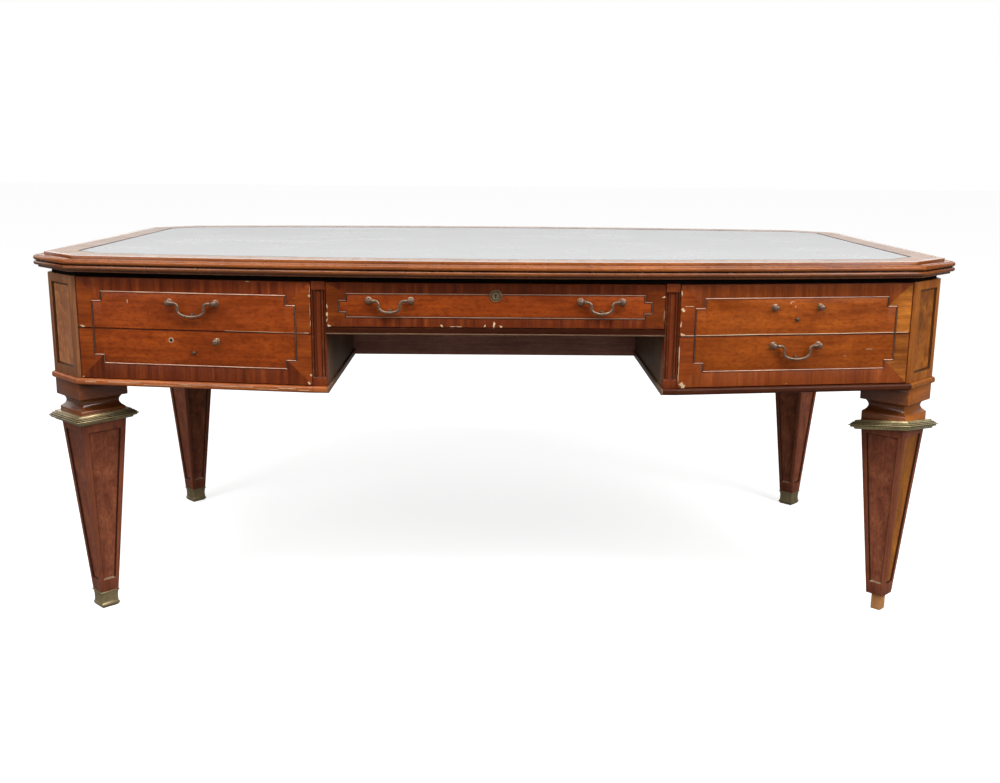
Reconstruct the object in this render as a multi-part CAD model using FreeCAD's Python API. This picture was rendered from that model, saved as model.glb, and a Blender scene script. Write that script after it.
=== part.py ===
"""Two-sided partners desk: bowed top with cut corners, five drawers on each long side, four square
tapered legs with brass collars and sabots.

Millimetres. X runs along the desk, the front looks towards -Y, +Z is up, and the origin is on the
floor under the middle of the desk. The back is the front turned half a turn about Z, with the handles
complete there.
"""
import FreeCAD, Part

import math
import os

V = FreeCAD.Vector
UP = V(0, 0, 1)
SAME = 1e-6               # two lengths closer than this are the same
ROUND_LIMIT = 0.45        # the largest share of a length that a rounding or bend may take

# Driving dimensions: the top
DESK_HEIGHT = 772.0
TOP_WIDTH = 1904.0
TOP_DEPTH = 1100.0
TOP_BOW = 73.0            # how far the middle of a long edge stands out past its two ends
TOP_CUT = 98.0            # corner cut, measured along each side
EDGE_WIDTH = 34.0         # width in plan of the moulded edge
EDGE_SET_BACK = 20.0      # from the outermost reed in to the raised flat of the top
EDGE_STEP = 5.6           # height of the raised flat over the reeds
UPPER_REED = 10.5         # height of each half-round reed
LOWER_REED = 9.2
REED_GROOVE = 0.6
EDGE_FILLET = 4.5         # plain strip under the reeds
FILLET_SET_BACK = 8.0
LEATHER_BORDER = 84.0     # from the outermost reed in to the leather
LEATHER_THICKNESS = 2.0
LEATHER_GAP = 0.5

# Driving dimensions: the case
SIDE_OVERHANG = 27.0      # top past the end panels
CORNER_OVERHANG = 24.0    # top past the front corner of the case
CASE_CUT = 75.0           # corner cut of the case, the same as half the diagonal of a leg block
FRONT_BOW = 68.0          # how far the kneehole front stands out past the front corners
KNEEHOLE_WIDTH = 666.0
KNEE_BACK = 85.0          # from the middle of the desk out to a kneehole's back panel
STILE_WIDTH = 27.0
STILE_DEPTH = 30.0
BOARD = 20.0              # end panels, corner posts and inner boards
POST_RETURN = 8.0         # width of a corner post seen beside the drawers
SIDE_RETURN = 12.0        # width of a corner post seen beside an end panel
CASE_HEIGHT = 221.0       # from the underside of the case up to the frieze
BASE_HEIGHT = 13.0
BASE_REACH = 6.0          # base moulding past the case
BASE_DEPTH = 18.0
BASE_ROUND = 4.0
FRIEZE_HEIGHT = 10.0
FRIEZE_INSET = 8.0
FRIEZE_DEPTH = 30.0
RAIL_HEIGHT = 13.5
PANEL_SINK = 4.0          # depth of the sunk panels of the corner posts and stiles
POST_PANEL_MARGIN = 13.0
POST_PANEL_TOP = 16.0
POST_PANEL_FOOT = 17.0
STILE_PANEL_MARGIN = 7.5

# Driving dimensions: drawers and what they run on
DRAWER_GAP = 1.5
FRONT_THICKNESS = 22.0
CENTRE_FRONT_HEIGHT = 87.0
RUNNING_GAP = 0.3
SIDE_PLAY = 1.0
FRONT_LAP = 2.5           # drawer front past the outside of its tray
TRAY_WALL = 11.0
TRAY_BOTTOM = 6.0
TRAY_BOTTOM_RISE = 8.0
TRAY_TOP_GAP = 10.95      # from a pedestal tray up to the divider over it
CENTRE_TRAY_GAP = 20.7    # from a centre tray up to the top of its front
TRAY_END_GAP = 20.0       # behind a closed drawer
DIVIDER = 8.0
DIVIDER_GAP = 2.0         # from a divider to the back of the drawer fronts
GUIDE_HEIGHT = 10.0
GUIDE_WIDTH = 10.0
RUNNER_WIDTH = 16.0
RUNNER_HEIGHT = 14.0

# Driving dimensions: handles and locks
WIDE_POST_SPACING = 95.0
CENTRE_POST_SPACING = 82.0
UPPER_POST_DROP = 46.5    # from the top of the drawer front to the bail's axis
LOWER_POST_DROP = 19.5
CENTRE_POST_DROP = 34.5
CENTRE_HANDLE_INSET = 126.0  # from the side of the kneehole in to the middle of a handle
WIDE_BAIL_DROP = 27.0
CENTRE_BAIL_DROP = 23.0
BAIL_ROD = 5.0
BAIL_NECK = 20.5          # how far a bail's upright stands in from its post
BAIL_SHOULDER_BEND = 8.0
BAIL_FOOT_BEND = 7.0
GRIP_SAG = 0.19           # sag of a bail's bowed grip, as a share of its drop
PIVOT_REACH = 10.0        # from the drawer face out to the bail's axis
PIVOT_PIN = 3.6
PIVOT_PLAY = 0.3
PIVOT_DEPTH = 3.0
POST_KNOB = 12.0
POST_NECK = 7.5
POST_ROSE = 15.0
ROSE_HEIGHT = 2.5
KNOB_HEIGHT = 9.0
KNOB_ROUND = 2.7
STUD_WIDTH = 8.0
STUD_HEIGHT = 4.5
STUD_ROUND = 1.8
STUD_RISE = 2.5           # stud's middle over the bottom of its bail
SCREW_HOLE = 5.0
SCREW_HOLE_DEPTH = 12.0
LOCK_DROP = 24.0
LOCK_PLATE = 24.0
LOCK_PLATE_HEIGHT = 1.6
LOCK_BARREL = 10.0
LOCK_CASE_WIDTH = 52.0
LOCK_CASE_HEIGHT = 40.0
LOCK_CASE_DEPTH = 14.0
LOCK_TOP_GAP = 1.0
BOLT_WIDTH = 18.0
BOLT_DEPTH = 5.0
BOLT_LENGTH = 20.0
BOLT_PLAY = 0.4
BOLT_THROW = 6.0

# Driving dimensions: legs
BLOCK_HEIGHT = 35.5
NECK_SIDE = 79.0
NECK_SHOULDER = 7.0       # flat under the block before the hollow starts
HOLLOW_HEIGHT = 25.0
PLINTH_HEIGHT = 18.0
SHAFT_SIDE = 98.0
FOOT_SIDE = 39.6
FOOT_HEIGHT = 37.5        # floor to the shoulder over the sabot
TENON_SIDE = 22.0
LEG_PANEL_SINK = 3.0
LEG_PANEL_TOP = 20.0
LEG_PANEL_FOOT = 28.0
LEG_PANEL_MARGIN = 11.5   # beside the leg panel at its top
LEG_PANEL_FOOT_MARGIN = 8.5
COLLAR_REACH = 19.0
COLLAR_HEIGHT = 19.5
COLLAR_PLAY = 0.6
LOOSE_COLLAR_DROP = 12.0  # the front right collar has slipped down
LOOSE_COLLAR_TILT = -1.1  # about the desk's depth
LOOSE_COLLAR_PITCH = 10.5  # about its width: the front corner has stayed up
LOOSE_COLLAR_SLIP = 1.0   # between the slipped collar and the leg before and behind
BENT_COLLAR_TILT = -2.0   # the front left one sits askew
# Section of a collar from its foot up: shares of its reach outwards and of its height downwards
COLLAR_FOOT = (0.45, 1.0)
COLLAR_STEPS = [[(0.58, 0.78)], [(0.80, 0.74), (0.86, 0.60)], [(1.0, 0.56)], [(1.0, 0.48)],
                [(0.72, 0.34)], [(0.62, 0.20), (0.46, 0.16)], [(0.40, 0.0)]]
SABOT_LIP = 43.0
SABOT_LIP_HEIGHT = 2.5
SABOT_WAIST = 35.6
SABOT_LIP_FLARE = 1.5     # how far the hollow body spreads from its waist up to the lip
SABOT_BASE_FLARE = 0.5    # and down to the base
SABOT_BASE = 41.0
SABOT_BASE_HEIGHT = 9.0
SABOT_BASE_SLOPE = 2.2    # height of the slope over the base
SABOT_UNDERCUT = 5.4      # height of the slope under it
SABOT_SOLE = 34.0
SABOT_PLAY = 0.4
DOWEL = 30.0
DOWEL_DEPTH = 22.0
DOWEL_PLAY = 0.2

# Worked out from them: heights
TOP_THICKNESS = EDGE_FILLET + LOWER_REED + UPPER_REED + 2 * REED_GROOVE + EDGE_STEP
TOP_UNDER = DESK_HEIGHT - TOP_THICKNESS
CASE_TOP = TOP_UNDER - FRIEZE_HEIGHT
CASE_FLOOR = CASE_TOP - CASE_HEIGHT
FLOOR_TOP = CASE_FLOOR + BASE_HEIGHT
FRONT_HEIGHT = (CASE_TOP - FLOOR_TOP - 3 * DRAWER_GAP) / 2
LOWER_FRONT = FLOOR_TOP + DRAWER_GAP
UPPER_FRONT = LOWER_FRONT + FRONT_HEIGHT + DRAWER_GAP
CENTRE_FRONT = CASE_TOP - DRAWER_GAP - CENTRE_FRONT_HEIGHT
RAIL_TOP = CENTRE_FRONT - DRAWER_GAP
DIVIDER_TOP = FLOOR_TOP + UPPER_FRONT - LOWER_FRONT
TRAY_HEIGHT = DIVIDER_TOP - FLOOR_TOP - DIVIDER - RUNNING_GAP - TRAY_TOP_GAP
CENTRE_TRAY_HEIGHT = CENTRE_FRONT_HEIGHT - RUNNING_GAP - CENTRE_TRAY_GAP
LEG_PLINTH = CASE_FLOOR - BLOCK_HEIGHT - HOLLOW_HEIGHT
SHAFT_TOP = LEG_PLINTH - PLINTH_HEIGHT

# Worked out from them: the plan, given for the quarter with x and depth positive
HALF_TOP = TOP_WIDTH / 2
TOP_CORNER = TOP_DEPTH / 2 - TOP_BOW
HALF_CHORD = HALF_TOP - TOP_CUT
BOW_RADIUS = (HALF_CHORD ** 2 + TOP_BOW ** 2) / (2 * TOP_BOW)
BOW_CENTRE = TOP_DEPTH / 2 - BOW_RADIUS
CASE_SIDE = HALF_TOP - SIDE_OVERHANG
CASE_CORNER = TOP_CORNER - CORNER_OVERHANG
LEG_X = CASE_SIDE - CASE_CUT
LEG_Y = CASE_CORNER - CASE_CUT
BLOCK_SIDE = CASE_CUT * math.sqrt(2)
KNEE = KNEEHOLE_WIDTH / 2
CENTRE_HANDLE_X = KNEE - CENTRE_HANDLE_INSET
WING = KNEE + STILE_WIDTH
FRONT = CASE_CORNER + FRONT_BOW
FRONT_SLOPE = FRONT_BOW / (LEG_X - WING)
FRONT_ANGLE = math.degrees(math.atan(FRONT_SLOPE))
CUT_LINE = CASE_SIDE + LEG_Y                       # x + depth along the case's cut corner
DRAWER_INNER = WING + DRAWER_GAP
DRAWER_OUTER = LEG_X - POST_RETURN - DRAWER_GAP
TRAY_INNER = DRAWER_INNER + FRONT_LAP
TRAY_OUTER = DRAWER_OUTER - FRONT_LAP
QUARTERS = [(-1, -1), (1, -1), (1, 1), (-1, 1)]
BARE_LEG = (1, -1)                                 # this leg has lost its sabot
LOOSE_COLLAR_LEG = (1, -1)                         # and its collar has slipped
BENT_COLLAR_LEG = (-1, -1)


def front_depth(x):
    """Distance of the case's long face from the middle of the desk."""
    return FRONT - FRONT_SLOPE * max(0.0, abs(x) - WING)


def clip(points, a, b, limit):
    """The part of a plan outline where a * x + b * y is at most limit."""
    kept = []
    for (x0, y0), (x1, y1) in zip(points, points[1:] + points[:1]):
        d0 = a * x0 + b * y0 - limit
        d1 = a * x1 + b * y1 - limit
        if d0 <= 0:
            kept.append((x0, y0))
        if d0 * d1 < 0:
            t = d0 / (d0 - d1)
            kept.append((x0 + t * (x1 - x0), y0 + t * (y1 - y0)))
    return kept


def inset(points, distance):
    """A counter-clockwise outline with every side moved inwards."""
    sides = []
    for (x0, y0), (x1, y1) in zip(points, points[1:] + points[:1]):
        length = math.hypot(x1 - x0, y1 - y0)
        nx, ny = (y1 - y0) / length, (x0 - x1) / length
        sides.append((nx, ny, nx * x0 + ny * y0 - distance))
    moved = []
    for (a, b, c), (d, e, f) in zip(sides[-1:] + sides[:-1], sides):
        det = a * e - b * d
        moved.append(((c * e - b * f) / det, (a * f - c * d) / det))
    return moved


def mirrored(points, sx, sy):
    """A plan outline for another quarter of the desk."""
    return [(sx * x, sy * y) for x, y in points]


def prism(points, z0, z1):
    """An upright solid on a plan outline."""
    wire = Part.makePolygon([V(x, y, z0) for x, y in points + points[:1]])
    return Part.Face(wire).extrude(V(0, 0, z1 - z0))


def box(x0, x1, y0, y1, z0, z1):
    """A box from its lowest to its highest corner."""
    return Part.makeBox(x1 - x0, y1 - y0, z1 - z0, V(x0, y0, z0))


def rod(diameter, start, end):
    """A cylinder between two points."""
    way = end - start
    return Part.makeCylinder(diameter / 2, way.Length, start, way)


def turned(shape, degrees, about=V(0, 0, 0), axis=UP):
    """A turned copy."""
    copy = shape.copy()
    copy.rotate(about, axis, degrees)
    return copy


def moved(shape, x, y, z):
    """A moved copy."""
    copy = shape.copy()
    copy.translate(V(x, y, z))
    return copy


def profile_face(place, start, steps):
    """A flat face from lines (one point) and arcs (two points) between places on a section."""
    here = start
    edges = []
    for step in steps:
        if len(step) == 1:
            edges.append(Part.LineSegment(place(*here), place(*step[0])).toShape())
        else:
            edges.append(Part.Arc(place(*here), place(*step[0]), place(*step[1])).toShape())
        here = step[-1]
    return Part.Face(Part.Wire(edges))


def save(name, solids):
    """Write one node, which may hold several separate solids."""
    shape = solids[0] if len(solids) == 1 else Part.makeCompound(solids)
    shape.exportStep(f"parts/{name}.step")


# The top
def top_corner(d):
    """Where the bowed edge meets the cut corner, with the outline moved in by d."""
    line = HALF_TOP + TOP_CORNER - TOP_CUT - d * math.sqrt(2)
    radius = BOW_RADIUS - d
    half_b = (line + BOW_CENTRE) / 2
    c = (line ** 2 + BOW_CENTRE ** 2 - radius ** 2) / 2
    depth = half_b + math.sqrt(half_b ** 2 - c)
    return line - depth, depth


def top_tip(d):
    """Where the cut corner meets the end of the top, with the outline moved in by d."""
    line = HALF_TOP + TOP_CORNER - TOP_CUT - d * math.sqrt(2)
    return HALF_TOP - d, line - (HALF_TOP - d)


def top_outline(d, z0, z1):
    """The bowed, cut-cornered plan of the top, moved in by d, as a solid."""
    cx, cy = top_corner(d)
    tx, ty = top_tip(d)
    middle = TOP_DEPTH / 2 - d
    edges = [Part.Arc(V(-cx, -cy, z0), V(0, -middle, z0), V(cx, -cy, z0)).toShape(),
             Part.makePolygon([V(cx, -cy, z0), V(tx, -ty, z0), V(tx, ty, z0), V(cx, cy, z0)]),
             Part.Arc(V(cx, cy, z0), V(0, middle, z0), V(-cx, cy, z0)).toShape(),
             Part.makePolygon([V(-cx, cy, z0), V(-tx, ty, z0), V(-tx, -ty, z0), V(-cx, -cy, z0)])]
    return Part.Face(Part.Wire(Part.sortEdges([e for part in edges for e in part.Edges])[0])).extrude(
        V(0, 0, z1 - z0))


def edge_section(place):
    """Section of the moulded edge: strip, two reeds, ledge and raised flat."""
    strip = TOP_UNDER + EDGE_FILLET
    low = LOWER_REED / 2
    high = UPPER_REED / 2
    reed = strip + LOWER_REED + REED_GROOVE
    ledge = reed + UPPER_REED + REED_GROOVE
    return profile_face(place, (EDGE_WIDTH, TOP_UNDER), [
        [(FILLET_SET_BACK, TOP_UNDER)],
        [(FILLET_SET_BACK, strip)],
        [(low, strip)],
        [(0, strip + low), (low, strip + LOWER_REED)],
        [(low, reed)],
        [(high, reed)],
        [(0, reed + high), (high, reed + UPPER_REED)],
        [(high, ledge)],
        [(EDGE_SET_BACK, ledge)],
        [(EDGE_SET_BACK, DESK_HEIGHT)],
        [(EDGE_WIDTH, DESK_HEIGHT)],
        [(EDGE_WIDTH, TOP_UNDER)]])


def mitre_wedge(outer0, outer1, inner0, inner1):
    """A tall wedge between two mitre lines, each given by a point on the edge and one inside it."""
    beyond = 2 + TOP_BOW / EDGE_WIDTH

    def far(inner, outer):
        return (inner[0] + beyond * (outer[0] - inner[0]), inner[1] + beyond * (outer[1] - inner[1]))

    return prism([inner0, far(inner0, outer0), far(inner1, outer1), inner1], 0, 2 * DESK_HEIGHT)


def top_moulding():
    """The moulded edge in eight mitred lengths, each run past its corners and then cut to its mitres."""
    corner, tip = top_corner(0), top_tip(0)
    corner_in, tip_in = top_corner(EDGE_WIDTH), top_tip(EDGE_WIDTH)
    lengths = []
    centre = V(0, -BOW_CENTRE, 0)
    # A bowed length is made in three stretches, so that each mitre cuts a short one
    corner_angle = math.atan2(corner[0], corner[1] - BOW_CENTRE)
    near, far = [math.degrees(corner_angle + share * EDGE_WIDTH / BOW_RADIUS) for share in (-2, 1)]
    section = edge_section(lambda d, z: V(0, -TOP_DEPTH / 2 + d, z))
    stretches = [turned(section, a, centre).revolve(centre, UP, b - a)
                 for a, b in ((-far, -near), (-near, near), (near, far))]
    bow = stretches[0].fuse(stretches[1:])
    for sy in (-1, 1):
        wedge = mitre_wedge((-corner[0], sy * corner[1]), (corner[0], sy * corner[1]),
                            (-corner_in[0], sy * corner_in[1]), (corner_in[0], sy * corner_in[1]))
        core = turned(bow, 0 if sy < 0 else 180)
        lengths.append(core.common(wedge))
    run = tip[1] + EDGE_WIDTH
    end = edge_section(lambda d, z: V(HALF_TOP - d, -run, z)).extrude(V(0, 2 * run, 0))
    wedge = mitre_wedge((tip[0], -tip[1]), tip, (tip_in[0], -tip_in[1]), tip_in)
    end = end.common(wedge)
    lengths += [end, turned(end, 180)]
    slant = V(1, 1, 0) / math.sqrt(2)
    for sx, sy in QUARTERS:
        inwards = V(-sx * slant.x, -sy * slant.y, 0)
        start = V(sx * corner[0], sy * corner[1], 0)
        stop = V(sx * tip[0], sy * tip[1], 0)
        past = (stop - start).normalize() * EDGE_WIDTH
        cut = edge_section(lambda d, z: start - past + inwards * d + UP * z).extrude(stop - start + past * 2)
        wedge = mitre_wedge((start.x, start.y), (stop.x, stop.y),
                            (sx * corner_in[0], sy * corner_in[1]), (sx * tip_in[0], sy * tip_in[1]))
        lengths.append(cut.common(wedge))
    return lengths


def build_top():
    """Board with a shallow bed for the leather, the moulded edge, and the leather itself."""
    board = top_outline(EDGE_WIDTH, TOP_UNDER, DESK_HEIGHT)
    bed = top_outline(LEATHER_BORDER, DESK_HEIGHT - LEATHER_THICKNESS, DESK_HEIGHT)
    save("top_board", [board.cut(bed)])
    save("top_edge_moulding", top_moulding())
    save("leather_inset", [top_outline(LEATHER_BORDER + LEATHER_GAP,
                                       DESK_HEIGHT - LEATHER_THICKNESS, DESK_HEIGHT)])


# The case
def case_outline():
    """Plan of the whole case, counter-clockwise from the front left corner."""
    quarter = [(CASE_SIDE, LEG_Y), (LEG_X, CASE_CORNER), (WING, FRONT)]
    front = mirrored(quarter, -1, -1) + mirrored(quarter[::-1], 1, -1)
    return front + [(-x, -y) for x, y in front]


def pedestal_outline():
    """Plan of the right pedestal, counter-clockwise, with its kneehole side last."""
    front = [(KNEE, -FRONT), (WING, -FRONT), (LEG_X, -CASE_CORNER), (CASE_SIDE, -LEG_Y)]
    return front + [(x, -y) for x, y in front[::-1]]


def front_bay(face_gap):
    """Plan inside the right pedestal's front half, behind its drawer fronts."""
    face = [(KNEE + BOARD, -FRONT + face_gap), (WING, -FRONT + face_gap),
            (CASE_SIDE, -front_depth(CASE_SIDE) + face_gap),
            (CASE_SIDE, -BOARD / 2), (KNEE + BOARD, -BOARD / 2)]
    bay = clip(face, 1, 0, CASE_SIDE - BOARD)
    bay = clip(bay, 0, -1, FRONT - STILE_DEPTH)
    return clip(bay, 1, -1, CUT_LINE - BOARD * math.sqrt(2))


def four_ways(make):
    """A solid for the front right quarter, repeated in all four."""
    return [make(sx, sy) for sx, sy in QUARTERS]


def ring_lengths(outline, outer, inner, z0, z1, skip=()):
    """Straight mitred lengths around an outline, from one inset to another."""
    far, near = inset(outline, outer), inset(outline, inner)
    count = len(outline)
    return [prism([far[i], far[(i + 1) % count], near[(i + 1) % count], near[i]], z0, z1)
            for i in range(count) if i not in skip]


def corner_post(sx, sy):
    """A corner post with a sunk panel on its slanted face."""
    plan = [(LEG_X - POST_RETURN, front_depth(LEG_X - POST_RETURN)), (LEG_X, CASE_CORNER),
            (CASE_SIDE, LEG_Y), (CASE_SIDE, LEG_Y - SIDE_RETURN), (LEG_X - POST_RETURN, LEG_Y - SIDE_RETURN)]
    plan = clip(plan, -1, -1, -(CUT_LINE - BOARD * math.sqrt(2)))
    post = prism(mirrored(plan, sx, sy), FLOOR_TOP, CASE_TOP)
    along = (BLOCK_SIDE - 2 * POST_PANEL_MARGIN) / 2 / math.sqrt(2)
    deep = PANEL_SINK / math.sqrt(2)
    x, y = (CASE_SIDE + LEG_X) / 2, (CASE_CORNER + LEG_Y) / 2
    sunk = [(x - along, y + along), (x + along, y - along),
            (x + along - deep, y - along - deep), (x - along - deep, y + along - deep)]
    return post.cut(prism(mirrored(sunk, sx, sy), FLOOR_TOP + POST_PANEL_FOOT, CASE_TOP - POST_PANEL_TOP))


def stile(sx, sy):
    """The upright between a pedestal and the kneehole, with a narrow sunk panel."""
    plan = [(KNEE, FRONT), (WING, FRONT), (WING, FRONT - STILE_DEPTH), (KNEE, FRONT - STILE_DEPTH)]
    post = prism(mirrored(plan, sx, sy), FLOOR_TOP, CASE_TOP)
    x0, x1 = KNEE + STILE_PANEL_MARGIN, WING - STILE_PANEL_MARGIN
    sunk = [(x0, FRONT), (x1, FRONT), (x1, FRONT - PANEL_SINK), (x0, FRONT - PANEL_SINK)]
    return post.cut(prism(mirrored(sunk, sx, sy), FLOOR_TOP + POST_PANEL_FOOT, CASE_TOP - POST_PANEL_TOP))


def base_length(solid, outline):
    """Round the outer edges of one length of the base moulding."""
    far = inset(outline, -BASE_REACH)
    lines = list(zip(far, far[1:] + far[:1]))

    def on_face(edge):
        middle = edge.CenterOfMass
        for (x0, y0), (x1, y1) in lines:
            length = math.hypot(x1 - x0, y1 - y0)
            off = ((middle.x - x0) * (y1 - y0) - (middle.y - y0) * (x1 - x0)) / length
            if abs(off) < SAME and abs(edge.Vertexes[0].Z - edge.Vertexes[1].Z) < SAME:
                return True
        return False

    radius = min(BASE_ROUND, ROUND_LIMIT * BASE_HEIGHT)
    return solid.makeFillet(radius, [e for e in solid.Edges if on_face(e)])


def base_moulding():
    """The strip round the foot of both pedestals, open on the kneehole side."""
    outline = pedestal_outline()
    knee_side = len(outline) - 1
    raw = ring_lengths(outline, -BASE_REACH, BASE_DEPTH - BASE_REACH, CASE_FLOOR, FLOOR_TOP, (knee_side,))
    keep = box(KNEE, 2 * CASE_SIDE, -2 * FRONT, 2 * FRONT, 0, DESK_HEIGHT)
    right = [base_length(length, outline).common(keep) for length in raw]
    return right + [turned(length, 180) for length in right]


def pedestal_floor():
    """Bottom board of the right pedestal, with holes for the leg dowels."""
    plan = clip(inset(pedestal_outline(), BASE_DEPTH - BASE_REACH), -1, 0, -(KNEE + BOARD))
    board = prism(plan, CASE_FLOOR, FLOOR_TOP)
    for sy in (-1, 1):
        board = board.cut(rod(DOWEL + 2 * DOWEL_PLAY, V(LEG_X, sy * LEG_Y, CASE_FLOOR),
                              V(LEG_X, sy * LEG_Y, FLOOR_TOP)))
    return board


def frieze():
    """The dark set-back rails under the top, with a mortise over each lock."""
    lengths = ring_lengths(case_outline(), FRIEZE_INSET, FRIEZE_INSET + FRIEZE_DEPTH, CASE_TOP, TOP_UNDER)
    x0, x1 = -BOLT_WIDTH / 2 - BOLT_PLAY, BOLT_WIDTH / 2 + BOLT_PLAY
    y0, y1 = -lock_line() - BOLT_DEPTH / 2 - BOLT_PLAY, -lock_line() + BOLT_DEPTH / 2 + BOLT_PLAY
    mortise = box(x0, x1, y0, y1, CASE_TOP, CASE_TOP + BOLT_THROW + BOLT_PLAY)
    mortises = mortise.fuse(turned(mortise, 180))
    return [length.cut(mortises) if length.common(mortises).Volume > 0 else length for length in lengths]


def build_case():
    """Everything that stays still over the legs and under the top."""
    save("frieze_rails", frieze())
    end = box(CASE_SIDE - BOARD, CASE_SIDE, SIDE_RETURN - LEG_Y, LEG_Y - SIDE_RETURN, FLOOR_TOP, CASE_TOP)
    save("end_panels", [end, turned(end, 180)])
    save("corner_posts", four_ways(corner_post))
    save("stiles", four_ways(stile))
    knee = box(KNEE, KNEE + BOARD, STILE_DEPTH - FRONT, FRONT - STILE_DEPTH, CASE_FLOOR, CASE_TOP)
    save("kneehole_panels", [knee, turned(knee, 180)])
    back = box(-KNEE, KNEE, -KNEE_BACK, BOARD - KNEE_BACK, CASE_FLOOR, CASE_TOP)
    middle = box(KNEE + BOARD, CASE_SIDE - BOARD, -BOARD / 2, BOARD / 2, FLOOR_TOP, CASE_TOP)
    save("inner_partitions", [back, turned(back, 180), middle, turned(middle, 180)])
    floor = pedestal_floor()
    save("pedestal_floors", [floor, turned(floor, 180)])
    bay = front_bay(FRONT_THICKNESS + DIVIDER_GAP)
    save("drawer_dividers", four_ways(
        lambda sx, sy: prism(mirrored(bay, sx, -sy), DIVIDER_TOP - DIVIDER, DIVIDER_TOP)))
    save("drawer_runners", runners())
    rail = box(-KNEE, KNEE, -FRONT, FRONT_THICKNESS - FRONT, RAIL_TOP - RAIL_HEIGHT, RAIL_TOP)
    save("kneehole_rails", [rail, turned(rail, 180)])
    save("base_moulding", base_moulding())


def runners():
    """Side guides for the pedestal drawers and runners under the centre drawers."""
    bay = front_bay(FRONT_THICKNESS + DIVIDER_GAP)
    inner = clip(bay, 1, 0, TRAY_INNER - SIDE_PLAY)
    outer = clip(bay, -1, 0, -(TRAY_OUTER + SIDE_PLAY))
    outer = clip(outer, 1, 0, TRAY_OUTER + SIDE_PLAY + GUIDE_WIDTH)
    strips = []
    for z in (FLOOR_TOP, DIVIDER_TOP):
        for plan in (inner, outer):
            strips += four_ways(lambda sx, sy: prism(mirrored(plan, sx, -sy), z, z + GUIDE_HEIGHT))
    x0, x1 = KNEE - RUNNER_WIDTH, KNEE
    y0, y1 = -FRONT + FRONT_THICKNESS, -KNEE_BACK
    z1 = CENTRE_FRONT
    for sx in (-1, 1):
        strip = box(min(sx * x0, sx * x1), max(sx * x0, sx * x1), y0, y1, z1 - RUNNER_HEIGHT, z1)
        strips += [strip, turned(strip, 180)]
    return strips


# Legs
def square_turning(foot, steps):
    """A square leg part from half of its outline, given from its foot up, the same on all four faces."""
    reach = 2 * max(half for step in [[foot]] + steps for half, _ in step)
    z0, z1 = foot[1], steps[-1][-1][1]
    outline = [[foot]] + steps + [[(0, z1)], [(0, z0)]]
    half = profile_face(lambda h, z: V(h, -reach, z), (0, z0), outline).extrude(V(0, 2 * reach, 0))
    whole = half.fuse(turned(half, 180)).removeSplitter()
    return whole.common(turned(whole, 90))


def leg_head():
    """Block, hollow neck and plinth, with a blind hole for the dowel."""
    block = BLOCK_SIDE / 2
    shoulder = block - NECK_SHOULDER
    plinth = SHAFT_SIDE / 2
    neck = NECK_SIDE / 2
    head = square_turning((plinth, SHAFT_TOP), [
        [(plinth, LEG_PLINTH)],
        [(neck, LEG_PLINTH + HOLLOW_HEIGHT / 2), (shoulder, LEG_PLINTH + HOLLOW_HEIGHT)],
        [(block, LEG_PLINTH + HOLLOW_HEIGHT)],
        [(block, CASE_FLOOR)]])
    return head.cut(rod(DOWEL + 2 * DOWEL_PLAY, V(0, 0, CASE_FLOOR - DOWEL_DEPTH), V(0, 0, CASE_FLOOR)))


def square_wire(side, z):
    """A level square round the leg's axis."""
    h = side / 2
    return Part.makePolygon([V(-h, -h, z), V(h, -h, z), V(h, h, z), V(-h, h, z), V(-h, -h, z)])


def shaft_half(z):
    """Half the side of the tapered shaft at a height."""
    share = (z - FOOT_HEIGHT) / (SHAFT_TOP - FOOT_HEIGHT)
    return (FOOT_SIDE + share * (SHAFT_SIDE - FOOT_SIDE)) / 2


def leg_shaft():
    """Tapered shaft with a sunk panel on each face, and the tenon for the sabot."""
    ends = [square_wire(FOOT_SIDE, FOOT_HEIGHT), square_wire(SHAFT_SIDE, SHAFT_TOP)]
    shaft = Part.makeLoft(ends, True, True)
    z0, z1 = FOOT_HEIGHT + LEG_PANEL_FOOT, SHAFT_TOP - COLLAR_HEIGHT / 2 - LEG_PANEL_TOP
    h0, h1 = shaft_half(z0), shaft_half(z1)
    w0, w1 = h0 - LEG_PANEL_FOOT_MARGIN, h1 - LEG_PANEL_MARGIN
    corners = [V(-w0, -h0, z0), V(w0, -h0, z0), V(w1, -h1, z1), V(-w1, -h1, z1)]
    inwards = V(0, z1 - z0, h1 - h0)
    inwards.normalize()
    sunk = Part.Face(Part.makePolygon(corners + corners[:1])).extrude(inwards * LEG_PANEL_SINK)
    for face in range(4):
        shaft = shaft.cut(turned(sunk, 90 * face))
    h = TENON_SIDE / 2
    return shaft.fuse(box(-h, h, -h, h, 0, FOOT_HEIGHT)).removeSplitter()


def collar(h):
    """Brass collar for a hole of half side h: a square ring with a stepped edge, its top at zero."""
    reach = SHAFT_SIDE / 2 + COLLAR_REACH - h

    def at(shares):
        return h + shares[0] * reach, -shares[1] * COLLAR_HEIGHT

    ring = square_turning(at(COLLAR_FOOT), [[at(shares) for shares in step] for step in COLLAR_STEPS])
    return ring.cut(box(-h, h, -h, h, -COLLAR_HEIGHT, 0))


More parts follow.
